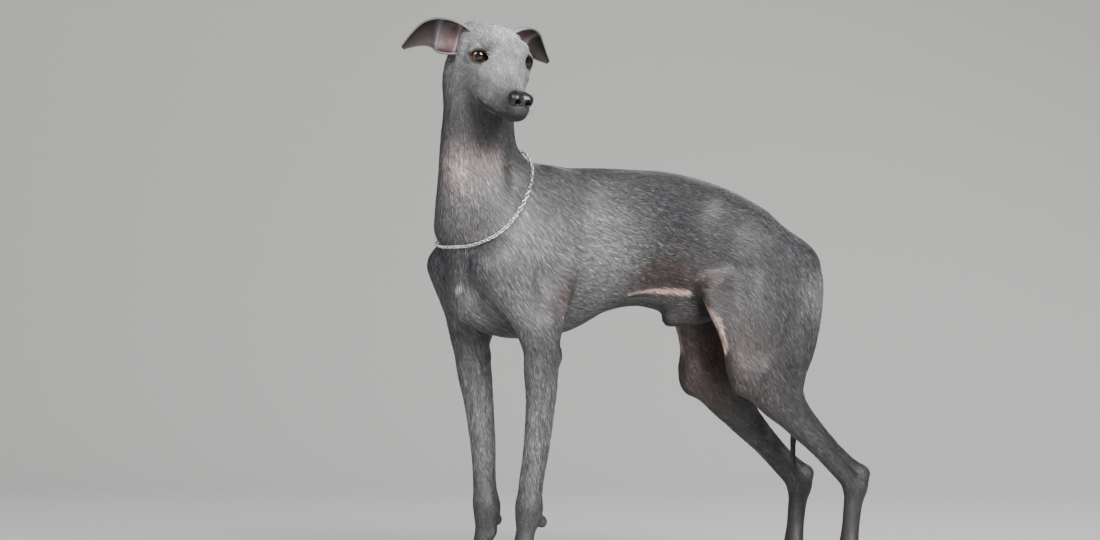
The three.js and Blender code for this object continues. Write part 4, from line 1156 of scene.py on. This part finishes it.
def lie_of(p, normals):
    total = np.zeros_like(p)
    for start, end, way, reach in STREAMS:
        near = line_distance(p, np.stack([start, end]))
        total += np.exp(-((near / reach) ** 2))[:, None] * way / reach
    total += 1e-6 * vec(0, 0.3, -1)
    total = unit(total)
    return unit(total - normals * (total * normals).sum(axis=1, keepdims=True))


# %% [markdown]
# ## The hairs
#
# Particle hair would be lost in an export, so each tuft is a thin blade of real mesh: three points at
# the root, three at half its length and one at the tip, with a low ridge that catches the light. The
# blades follow the skin, so they lie flat, and there are more and smaller ones on the face and feet.

# %% Roots of the hairs
TUFTS = 210000
BLADE_LONG = 6.2
BLADE_WIDE = 0.75
BLADE_RIDGE = 0.16
FACE_SHORTER = 0.62
FACE_NARROWER = 0.5
ROOT_SUNK = 0.12
SWIRL_SIZE = 9


def scatter(points, quads, count, share, seed):
    """Roots spread over the skin: the place, its quad and its place within the quad."""
    rng = np.random.default_rng(seed)
    area = np.linalg.norm(face_normals(points, quads), axis=1) * share
    ladder = np.cumsum(area)
    draw = (np.arange(count) + rng.random(count)) * ladder[-1] / count
    face = np.minimum(np.searchsorted(ladder, draw), len(quads) - 1)
    u, v = rng.random((2, count))
    corner = np.stack([(1 - u) * (1 - v), u * (1 - v), u * v, (1 - u) * v], axis=1)
    return face, corner


def blend_corners(values, face, corner):
    return (values[face] * corner[:, :, None]).sum(axis=1)


def hair_share(middle):
    """More hairs where they are smaller, none on the soles, the lips, the lids or under the nose."""
    share = 1 + 1.6 * shortness(middle)
    share *= smooth_step(2.5, 6, middle[:, 2])
    for side in SIDES:
        gap, z = lid_gap(middle, side)
        share *= np.where(np.abs(z - 9) < 7, smooth_step(0.8, 2.2, gap), 1)
        share *= smooth_step(0.5, 1.6, line_distance(middle, head_points(LIP_LINE, side)))
    nose = np.linalg.norm(middle - NOSE_AT, axis=1) < NOSE_BARE
    share[nose] *= smooth_step(0, 2, flesh_depth(middle[nose], ("nose",)))
    return share


face, corner = scatter(
    skin_points, skin_quads, TUFTS, hair_share(skin_points[skin_quads].mean(axis=1)), 11,
)
roots = blend_corners(skin_points[skin_quads], face, corner)
root_normals = unit(blend_corners(skin_normals[skin_quads], face, corner))
root_flat = blend_corners(skin_flat, face, corner)
clock("roots placed")


# %% Blades
def on_skin(points, normals, height):
    return points + normals * (height - in_shares(skin_depth, points))[:, None]


def blades(roots, normals, seed):
    rng = np.random.default_rng(seed)
    count = len(roots)
    small = shortness(roots)
    lie = lie_of(roots, normals)
    side = np.cross(normals, lie)
    swirl = 0.5 * (mottle(roots, SWIRL_SIZE, 21) - 0.5) + rng.normal(0, 0.13, count)
    lie = unit(lie + side * swirl[:, None])
    side = np.cross(normals, lie)
    length = BLADE_LONG * (1 - FACE_SHORTER * small) * rng.uniform(0.7, 1.25, count)
    wide = BLADE_WIDE * (1 - FACE_NARROWER * small) * rng.uniform(0.7, 1.2, count)
    rise = coat_depth(roots) * rng.uniform(0.35, 0.95, count)
    middle = on_skin(roots + lie * (0.5 * length)[:, None], normals, 0.75 * rise)
    tip = on_skin(roots + lie * length[:, None], normals, rise)
    half = side * (wide / 2)[:, None]
    ridge = normals * (BLADE_RIDGE * wide)[:, None]
    sunk = normals * ROOT_SUNK
    rows = [
        roots - half - sunk, roots + ridge - sunk, roots + half - sunk,
        middle - half * 0.9, middle + ridge, middle + half * 0.9,
        tip,
    ]
    return np.stack(rows, axis=1), side, rng.normal(0, 1, count)


BLADE_FACES = np.array([(4, 1, 0), (3, 4, 0), (5, 2, 1), (4, 5, 1), (6, 4, 3), (6, 5, 4)])
BLADE_PATCH = 0.0015 * np.array([(-1, -1), (0, -1), (1, -1), (-1, 0), (0, 0), (1, 0), (0, 1)])
STREAK = 2.6
STREAK_WIDE = 0.9
STREAK_STEP = 1.3
OWN_TONE = 0.3
LEAN = 0.5
BOX_CLEAR = 0.05
PIECE_TUFTS = 32000
TONE_ALONG = np.array([0.72, 0.8, 0.72, 1.0, 1.12, 1.0, 1.25])

blade_points, blade_side, blade_tone = blades(roots, root_normals, 12)
box_low, box_high = (np.array(corner) * 1000 - MIDDLE for corner in CAD_BOX)
blade_points = np.clip(blade_points, box_low + BOX_CLEAR, box_high - BOX_CLEAR)
way = np.cross(blade_side, root_normals)
streaks = np.mean([mottle(roots + way * STREAK_STEP * k, STREAK_WIDE, 31) for k in range(-2, 3)], axis=0)
blade_colour = coat_colour(roots) * np.exp(OWN_TONE * blade_tone + STREAK * (streaks - 0.5))[:, None]
clock("blades shaped")


# %% Coat pieces
def coat_pieces():
    """The coat in pieces, from the head to the rump, each well under 200,000 triangles."""
    order = np.argsort(roots[:, 1] - 0.9 * roots[:, 2], kind="stable")
    for number, part in enumerate(np.array_split(order, math.ceil(TUFTS / PIECE_TUFTS))):
        points = blade_points[part].reshape(-1, 3)
        faces = (np.arange(len(part))[:, None, None] * 7 + BLADE_FACES).reshape(-1, 3)
        colours = (blade_colour[part][:, None, :] * TONE_ALONG[None, :, None]).reshape(-1, 3)
        piece = mesh_object(f"coat_{number + 1}", points, faces, HAIR, colours)
        flat = (root_flat[part][:, None, :] + BLADE_PATCH).reshape(-1, 2)
        layer = piece.data.uv_layers.new(name="OFBake")
        layer.data.foreach_set("uv", flat[faces.ravel()].astype(np.float32).ravel())
        leaning = np.array([-1, 0, 1, -1, 0, 1, 0])[None, :, None] * blade_side[part][:, None, :]
        normals = unit(root_normals[part][:, None, :] + LEAN * leaning).reshape(-1, 3)
        piece.data.normals_split_custom_set_from_vertices(normals.tolist())
    print(number + 1, "coat pieces of", len(part), "tufts")


coat_pieces()
clock("coat made")

# %% [markdown]
# ## The eyes
#
# Each eye is a ball with a clear wet front. Its rings are read from one value: how far round the ball a
# point lies from where the eye looks. The pupil is wide, the iris amber with a dark edge, and what little
# shows of the white is brown. A second value paints the shadow of the upper lid over the top of the eye.

# %% Eyes
EYE_BALL = 9.45
CORNEA_RISE = 0.5
PUPIL_EDGE = 0.40
IRIS_EDGE = 0.68


def eye_material():
    material, shader = new_material("wet_eye")
    ring = attribute("ring", 2)
    fibres = noise(1400, 3, 0.6)
    rings = Shade.node("ShaderNodeValToRGB", {"stops": [
        (0.0, (0.004, 0.004, 0.005)),
        (PUPIL_EDGE * 0.96, (0.005, 0.004, 0.004)),
        (PUPIL_EDGE * 1.08, (0.05, 0.018, 0.007)),
        (PUPIL_EDGE * 1.35, (0.19, 0.068, 0.022)),
        (IRIS_EDGE * 0.9, (0.09, 0.030, 0.011)),
        (IRIS_EDGE, (0.02, 0.008, 0.004)),
        (0.8, (0.030, 0.016, 0.012)),
        (1.0, (0.06, 0.03, 0.024)),
    ]}, {"Fac": ring})
    lid_shade = attribute("lid_shade", 2)
    Shade.plug(shader, {
        "Base Color": rings.tinted((0.55 + 0.9 * fibres) * lid_shade),
        "Roughness": 0.3,
        "Specular IOR Level": 0.1,
        "Coat Weight": 1.0,
        "Coat Roughness": 0.01,
    })
    return material


def ball(around, down):
    """Points of a unit ball with its pole at +Z, and its quads; the poles are tiny rings."""
    tall = np.linspace(0.001, math.pi - 0.001, down)
    turn = np.linspace(0, 2 * math.pi, around, endpoint=False)
    points = np.stack([
        np.outer(np.sin(tall), np.cos(turn)), np.outer(np.sin(tall), np.sin(turn)),
        np.outer(np.cos(tall), np.ones(around)),
    ], axis=-1).reshape(-1, 3)
    return points, tube_faces(down, around), np.repeat(tall, around)


def tube_faces(rings, around, closed=False):
    r = np.arange(rings if closed else rings - 1)[:, None]
    k = np.arange(around)[None, :]
    a, b = r * around, (r + 1) % rings * around
    turned = (k + 1) % around
    return np.stack([a + k, b + k, b + turned, a + turned], axis=-1).reshape(-1, 4)


EYE = eye_material()
for side in SIDES:
    along, rise, look = eye_axes(side)
    points, faces, tall = ball(64, 48)
    swell = EYE_BALL + CORNEA_RISE * smooth_step(0.75, 0.2, tall)
    placed = (points * swell[:, None]) @ np.stack([along, rise, look]) + eye_at(side)
    eye = mesh_object(f"eye_{SIDE_NAME[side]}_wet", placed, faces, EYE)
    shades = {"ring": np.clip(tall, 0, 1), "lid_shade": 0.3 + 0.8 * smooth_step(0.35, -0.35, points[:, 1])}
    for name, values in shades.items():
        layer = eye.data.attributes.new(name, "FLOAT", "POINT")
        layer.data.foreach_set("value", values.astype(np.float32))
    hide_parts("eye_" + SIDE_NAME[side])

# %% [markdown]
# ## The nose
#
# Nose leather is black, moist and finely pebbled. It is meshed from its own field on a finer grid, which
# keeps the slit of each nostril, and its pebbles are cells in the bump.

# %% Nose
NOSE_BOX = 34
NOSE_STEP = 0.55


def nose_material():
    material, shader = new_material("nose_leather")
    cells = Shade.node("ShaderNodeTexVoronoi", {"feature": "DISTANCE_TO_EDGE"}, {
        "Vector": place_of(), "Scale": 900.0,
    })
    Shade.plug(shader, {
        "Base Color": (0.006, 0.006, 0.007, 1),
        "Roughness": 0.26 + 0.2 * noise(500),
        "Normal": bump(cells, 0.5, 0.0004),
        "Coat Weight": 0.2,
        "Coat Roughness": 0.15,
    })
    return material


def make_nose():
    low = NOSE_AT - NOSE_BOX / 2
    grid = [planes(v, v + NOSE_BOX, NOSE_STEP, []) for v in low]
    points, quads = keep_largest(*field_mesh(nose_depth, grid))
    points, quads = settled(points - NOSE_AT, quads, lambda p: nose_depth(p + NOSE_AT))
    piece = mesh_object("nose_pebbled", points + NOSE_AT, quads, nose_material())
    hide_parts("nose")


make_nose()
clock("eyes and nose made")

# %% [markdown]
# ## The ears
#
# A folded ear is a thin curved sheet, cupped towards the front, that falls over at the tip. It is lofted
# from bent cross sections along a line; inside it is bare and brown pink, outside it has the coat. Inside
# it also has painted shade under its upper rim, along its lower edge and towards its brown tip, and painted
# highlights on the rolled curl and in blue-grey patches.

# %% Ears
EARS = {
    -1: {
        "opening": (0.9, -0.2, 0.12),
        "line": (
            (-36, -20, -2, 9, 105), (-39, -30, -1.5, 13, 90), (-42, -41, -2.5, 14.5, 72),
            (-46, -50, -5.5, 12, 58), (-50, -58, -12.5, 7, 50), (-54, -67, -24, 1.5, 40),
        ),
    },
    1: {
        "opening": (0.9, 0.2, -0.05),
        "line": (
            (-36, 15, 4, 9, 105), (-38, 24, 6, 11, 92), (-40, 32, 4, 11, 76),
            (-43, 41, -3, 9, 62), (-46, 50, -10, 6, 50), (-48, 60, -17, 1.4, 40),
        ),
    },
}
EAR_HALF = 0.75
EAR_COLUMNS = 36
EAR_STEPS = 15
EAR_IN = vec(0.080, 0.036, 0.036)
EAR_BROWN_AND_SHADE = vec(0.012, 0.007, 0.006)
EAR_PAINTED_SHEEN = vec(0.085, 0.080, 0.098)
EAR_PALE = vec(0.46, 0.38, 0.35)
CURL_AT = 0.47
FOLD_AT = 0.15


def ear_lines(share, along, side):
    """How far a place inside the ear belongs to the rolled curl and to the fold at its root."""
    top = -side * share
    body = smooth_step(1.0, 0.75, np.abs(share))
    curl_line = body * np.exp(-(((along - CURL_AT + 0.06 * top) / 0.045) ** 2))
    fold_line = body * np.exp(-(((along - FOLD_AT - 0.05 * top**2) / 0.03) ** 2))
    return curl_line, fold_line


def ear_rings(side):
    rows = refine([(*in_head(*row[:3]), *row[3:]) for row in EARS[side]["line"]], EAR_STEPS)
    toward = head_turned(EARS[side]["opening"])
    share = np.linspace(-1, 1, EAR_COLUMNS)
    rings = []
    for i, row in enumerate(rows):
        axis = unit(rows[min(i + 1, len(rows) - 1)][:3] - rows[max(i - 1, 0)][:3])
        front = unit(toward - axis * (toward @ axis))
        rise = np.cross(axis, front)
        curl = math.radians(row[4])
        bend = row[3] / math.sin(min(curl, math.pi / 2))
        hinge = row[:3] + front * bend * 0.6
        out = np.outer(np.sin(curl * share), rise) - np.outer(np.cos(curl * share), front)
        along = i / (len(rows) - 1)
        thick = EAR_HALF * (1 - 0.45 * along)
        curl_line, fold_line = ear_lines(share, along, side)
        raised = (2.0 * curl_line + 1.6 * fold_line) * min(1, row[3] / 9)
        outer = hinge + out * (bend + thick + 0.2)
        inner = hinge + out * (bend - thick - raised)[:, None]
        rings.append(np.concatenate([outer, inner[::-1]]))
    return np.array(rings)


def make_ear(side):
    rings = ear_rings(side)
    count, around = rings.shape[:2]
    points = rings.reshape(-1, 3)
    faces = tube_faces(count, around)
    inner = np.tile(np.arange(around) >= EAR_COLUMNS, count)
    along = np.repeat(np.linspace(0, 1, count), around)
    over = np.linspace(-1, 1, EAR_COLUMNS)
    share = np.tile(np.concatenate([over, over[::-1]]), count)
    top = -side * share
    tones = [
        # blue-grey painted highlights in patches
        (EAR_PAINTED_SHEEN, 0.6 * smooth_step(0.5, 0.7, mottle(points, 5, 9))),
        # painted shade under the upper rim, along the lower edge and towards the tip, which is also brown
        (EAR_BROWN_AND_SHADE, smooth_step(0.5, 0.8, top)),
        (EAR_BROWN_AND_SHADE, 0.7 * smooth_step(-0.6, -0.9, top)),
        (EAR_BROWN_AND_SHADE, smooth_step(CURL_AT, CURL_AT + 0.1, along + 0.06 * top)),
    ]
    curl_line, fold_line = ear_lines(share, along, side)
    # a painted highlight on the rolled curl, and a pale line along the fold at the root
    tones += [(EAR_PAINTED_SHEEN * 1.5, 0.6 * curl_line), (EAR_PALE, 0.45 * fold_line)]
    tones.append((SILVER_AND_SHEEN, 0.7 * smooth_step(0.95, 0.99, np.abs(share))))
    lining = layered(EAR_IN * (0.7 + 0.6 * mottle(points, 4, 8))[:, None], tones)
    colour = np.where(inner[:, None], lining, coat_colour(points))
    middle = points[faces].mean(axis=1).mean(axis=0)
    if (face_normals(points - middle, faces) * (points - middle)[faces].mean(axis=1)).sum() < 0:
        faces = faces[:, ::-1]
    piece = mesh_object(f"ear_{SIDE_NAME[side]}_folded", points, faces, SKIN, colour)
    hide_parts("ear_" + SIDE_NAME[side])


for side in SIDES:
    make_ear(side)

# %% [markdown]
# ## Claws and whiskers
#
# Claws are dark curved horn, one to a toe. Whiskers and lashes are few, long and thin: tapered tubes of
# three sides are enough.

# %% Tubes
def tube(points, radii, around, across):
    points = np.asarray(points, float)
    axis = unit(np.gradient(points, axis=0))
    side = unit(across - axis * (axis @ across)[:, None])
    other = np.cross(axis, side)
    turn = np.linspace(0, 2 * math.pi, around, endpoint=False)
    ring = side[:, None, :] * np.cos(turn)[:, None] + other[:, None, :] * np.sin(turn)[:, None]
    return (points[:, None, :] + ring * np.asarray(radii)[:, None, None]).reshape(-1, 3)


def joined(parts, around, closed=False):
    """Many tubes of the same make as one mesh."""
    count = len(parts[0]) // around
    faces = tube_faces(count, around, closed)
    points = np.concatenate(parts)
    return points, np.concatenate([faces + k * len(parts[0]) for k in range(len(parts))])


def horn_material():
    material, shader = new_material("claw_horn")
    Shade.plug(shader, {
        "Base Color": (0.028, 0.024, 0.023, 1),
        "Roughness": 0.28 + 0.2 * noise(300),
        "Normal": bump(noise(1.0, 3, 0.6, stretched((1500, 200, 1500))), 0.2, 0.0003),
    })
    return material


HORN = horn_material()
CLAW_LONG = 2.9
CLAW_WAY = vec(0, -2.3, 0.4)
CLAW_DROP = 0.5
CLAW_THICK = 1.55
CLAW_POINT = 3.05
CLAW_RINGS = 9
CLAW_SIDES = 10
HAIR_SIDES = 3
WHISKERS = 14
WHISKER_ROW = 5
WHISKER_LONG = (9, 19)
WHISKER_THICK = 0.08
LASHES = 11
LASH_LONG = 2.6
LASH_THICK = 0.07


def make_claws():
    parts = []
    for side in SIDES:
        for root, scale in ((JOINTS[side]["knuckle"], 1.0), (JOINTS[side]["toe_root"], HIND_PAW)):
            for toe in TOES:
                start = toe_line(root, toe, scale)[3] + vec(0, 0.5, 1.2)
                steps = np.linspace(0, CLAW_LONG, CLAW_RINGS)
                path = start + np.outer(steps, CLAW_WAY) * scale
                path[:, 2] -= CLAW_DROP * steps**2 * scale
                radii = CLAW_THICK * (1 - (steps / CLAW_POINT) ** 1.7) + 0.12
                parts.append(tube(path, radii, CLAW_SIDES, X_AXIS))
    points, faces = joined(parts, CLAW_SIDES)
    mesh_object("claws", points, faces, HORN)


make_claws()


def bent_hair(start, way, droop, length, radius):
    steps = np.linspace(0, 1, 7)[:, None]
    path = start + way * length * steps + droop * length * 0.35 * steps**2
    return tube(path, radius * (1 - 0.85 * steps[:, 0]), HAIR_SIDES, unit(np.cross(way, UP)))


def make_whiskers():
    rng = np.random.default_rng(41)
    parts = []
    for side in SIDES:
        for k in range(WHISKERS):
            row, place = divmod(k, WHISKER_ROW)
            start = in_head(52 - 4.5 * place, side * (6.5 + 0.75 * place), -19 - 3 * row)
            ahead, up = 0.15 - 0.2 * place + rng.normal(0, 0.1), -0.35 + rng.normal(0, 0.12)
            way = unit(head_turned((ahead, side, up)))
            start = start - way * skin_depth(start[None])[0]
            length = rng.uniform(*WHISKER_LONG)
            parts.append(bent_hair(start, way, head_turned((-0.6, 0, -0.3)), length, WHISKER_THICK))
        along, rise, look = eye_axes(side)
        for k in range(LASHES):
            x = LID_OPEN * (-0.8 + 0.16 * k)
            y = LID_UPPER * (1 - (x / LID_OPEN) ** 2) ** ALMOND + 0.3
            deep = math.sqrt(max(EYE_BALL**2 - x * x - y * y, 0))
            start = eye_at(side) + along * x + rise * y + look * (deep + 0.2)
            way = unit(look + 0.25 * along * x / LID_OPEN - 0.2 * rise)
            parts.append(bent_hair(start, way, rise, LASH_LONG, LASH_THICK))
    points, faces = joined(parts, HAIR_SIDES)
    mesh_object("whiskers_and_lashes", points, faces, HORN)


make_whiskers()

# %% [markdown]
# ## The chain collar
#
# The dog wears a fine bright chain that hangs low on the neck. Its line is found as the solids found it:
# from a middle line, one ray for each place outward to the flesh. Oval links are set along it, each
# turned a quarter from the last, as in a real chain.

# %% Chain
CHAIN_FRONT = 279
CHAIN_RISE = 70
CHAIN_SAG = 2.3
CHAIN_TILT = 2.3
CHAIN_SWAY = 9
CHAIN_CLEAR = 2.0
CHAIN_MIDDLE = -138
NECK_MIDDLE = -125
CHAIN_PITCH = 3.4
LINK_LONG = 2.1
LINK_WIDE = 1.3
WIRE = 0.4
LINK_STEPS = 20
WIRE_SIDES = 7
LINK_TURN = math.radians(45)


def cast_out(depth, centres, rays, reach=90):
    """How far each ray goes before it leaves the flesh."""
    far = np.zeros(len(centres))
    for _ in range(200):
        d = depth(centres + rays * far[:, None])
        moving = (d <= 0) & (far < reach)
        if not moving.any():
            break
        far += np.where(moving, np.maximum(-0.8 * d, 0.5), 0)
    for _ in range(8):
        far -= np.clip(depth(centres + rays * far[:, None]), -1, 1)
    return far


def chain_line(count=240):
    angle = np.linspace(0, 2 * math.pi, count, endpoint=False)
    share = (1 + np.cos(angle)) / 2
    lift = CHAIN_RISE * share**CHAIN_SAG
    zero = np.zeros(count)
    sway = CHAIN_SWAY * np.maximum(0, -np.sin(angle))
    centres = np.stack([zero, CHAIN_MIDDLE + 10 * share, CHAIN_FRONT + lift * 0.37 + sway], axis=1)
    rays = unit(np.stack([np.sin(angle), np.cos(angle), CHAIN_TILT * lift / CHAIN_RISE], axis=1))
    depth = lambda p: flesh_depth(p, SKIN_REGIONS) - CHAIN_CLEAR
    return centres + rays * cast_out(depth, centres, rays)[:, None]


def steel_material():
    material, shader = new_material("bright_chain")
    Shade.plug(shader, {
        "Base Color": (0.78, 0.78, 0.80, 1),
        "Metallic": 1.0,
        "Roughness": 0.16 + 0.2 * noise(900),
    })
    return material


def make_chain():
    line = chain_line()
    loop = np.concatenate([line, line[:1]])
    run = np.concatenate([[0], np.cumsum(np.linalg.norm(np.diff(loop, axis=0), axis=1))])
    links = int(run[-1] / CHAIN_PITCH) // 2 * 2
    at = np.arange(links) * run[-1] / links
    places = np.stack([np.interp(at, run, loop[:, k]) for k in range(3)], axis=1)
    turn = np.linspace(0, 2 * math.pi, LINK_STEPS, endpoint=False)
    round_ = np.linspace(0, 2 * math.pi, WIRE_SIDES, endpoint=False)
    oval_path = np.stack([np.cos(turn) * LINK_LONG, np.sin(turn) * LINK_WIDE, 0 * turn], axis=1)
    parts = []
    for k, place in enumerate(places):
        axis = unit(places[(k + 1) % links] - places[k - 1])
        out = unit(place - vec(0, NECK_MIDDLE, place[2]))
        out = unit(out - axis * (out @ axis))
        over = np.cross(axis, out)
        tilt = LINK_TURN if k % 2 else -LINK_TURN
        wide = out * math.sin(tilt) + over * math.cos(tilt)
        flat = np.cross(axis, wide)
        path = place + oval_path @ np.stack([axis, wide, flat])
        ahead = unit(np.roll(path, -1, axis=0) - np.roll(path, 1, axis=0))
        beside = np.cross(ahead, flat)
        ring = beside[:, None] * np.cos(round_)[:, None] + flat * np.sin(round_)[:, None]
        parts.append((path[:, None] + ring * WIRE).reshape(-1, 3))
    points, faces = joined(parts, WIRE_SIDES, closed=True)
    piece = mesh_object("collar_links", points, faces, steel_material())
    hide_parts("collar_chain")
    print(links, "links,", round(run[-1]), "mm of chain")


make_chain()
clock("chain made")

# %% [markdown]
# ## Floor and light
#
# A plain pale floor that rises into a plain back wall keeps the eye on the dog. A large soft light from
# above and from the dog's left does most, and two weaker ones fill the shadow side and draw a line of
# light along the back. The wall is clear from behind, so the dog can be seen from there.

# %% Studio
FLOOR_AHEAD = 6.0
FLOOR_HALF = 20
WALL_START = 1.6
WALL_BEND = 1.2
WALL_HIGH = 6.0
DOG_MIDDLE = 0.25
SKY_LIGHT = 0.22


def floor_material():
    material, shader = new_material("pale_floor")
    Shade.plug(shader, {
        "Base Color": (0.52, 0.52, 0.51, 1),
        "Roughness": 0.75,
    })
    behind = Shade.node("ShaderNodeNewGeometry", None, None, 6)
    clear = Shade.node("ShaderNodeBsdfTransparent")
    both = Shade.node("ShaderNodeMixShader", None, {0: behind, 1: Shade(shader.outputs[0]), 2: clear})
    Shade.tree.links.new(both.socket, Shade.tree.nodes["Material Output"].inputs[0])
    return material


def make_floor():
    turn = np.linspace(0, math.pi / 2, 17)[1:]
    profile = [(FLOOR_AHEAD, 0.0), (0.0, 0.0), (-WALL_START, 0.0)]
    profile += [(-WALL_START - WALL_BEND * math.sin(t), WALL_BEND * (1 - math.cos(t))) for t in turn]
    profile.append((-WALL_START - WALL_BEND, WALL_HIGH))
    sides = (-FLOOR_HALF, FLOOR_HALF)
    points = [BACK * far + RIGHT * wide + UP * high for far, high in profile for wide in sides]
    faces = [(2 * k, 2 * k + 1, 2 * k + 3, 2 * k + 2) for k in range(len(profile) - 1)]
    mesh = bpy.data.meshes.new("floor")
    mesh.from_pydata(np.array(points).tolist(), [], faces)
    mesh.polygons.foreach_set("use_smooth", [True] * len(faces))
    mesh.materials.append(floor_material())
    floor = bpy.data.objects.new("floor", mesh)
    bpy.context.scene.collection.objects.link(floor)


def soft_light(name, round_, high, far, size, power, colour):
    """A square light at an angle round the dog, aimed at its middle."""
    away = from_round(math.radians(round_), math.radians(high))
    data = bpy.data.lights.new(name, "AREA")
    data.size = size
    data.energy = power
    data.color = colour
    across = unit(np.cross(UP, away))
    stand(data, [across, np.cross(away, across), away], away * far + vec(0, 0, DOG_MIDDLE))


def make_world():
    world = bpy.data.worlds.new("studio")
    world.use_nodes = True
    background = world.node_tree.nodes["Background"]
    background.inputs["Color"].default_value = (0.90, 0.95, 1.0, 1)
    background.inputs["Strength"].default_value = SKY_LIGHT
    bpy.context.scene.world = world


make_floor()
make_world()
soft_light("key", 80, 30, 2.6, 1.1, 156, (1.0, 0.97, 0.94))
soft_light("front", 5, 32, 2.6, 0.9, 38, (0.98, 0.98, 1.0))
soft_light("back", 215, 40, 2.4, 0.9, 24, (0.95, 0.98, 1.0))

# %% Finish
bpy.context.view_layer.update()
clock("all made")
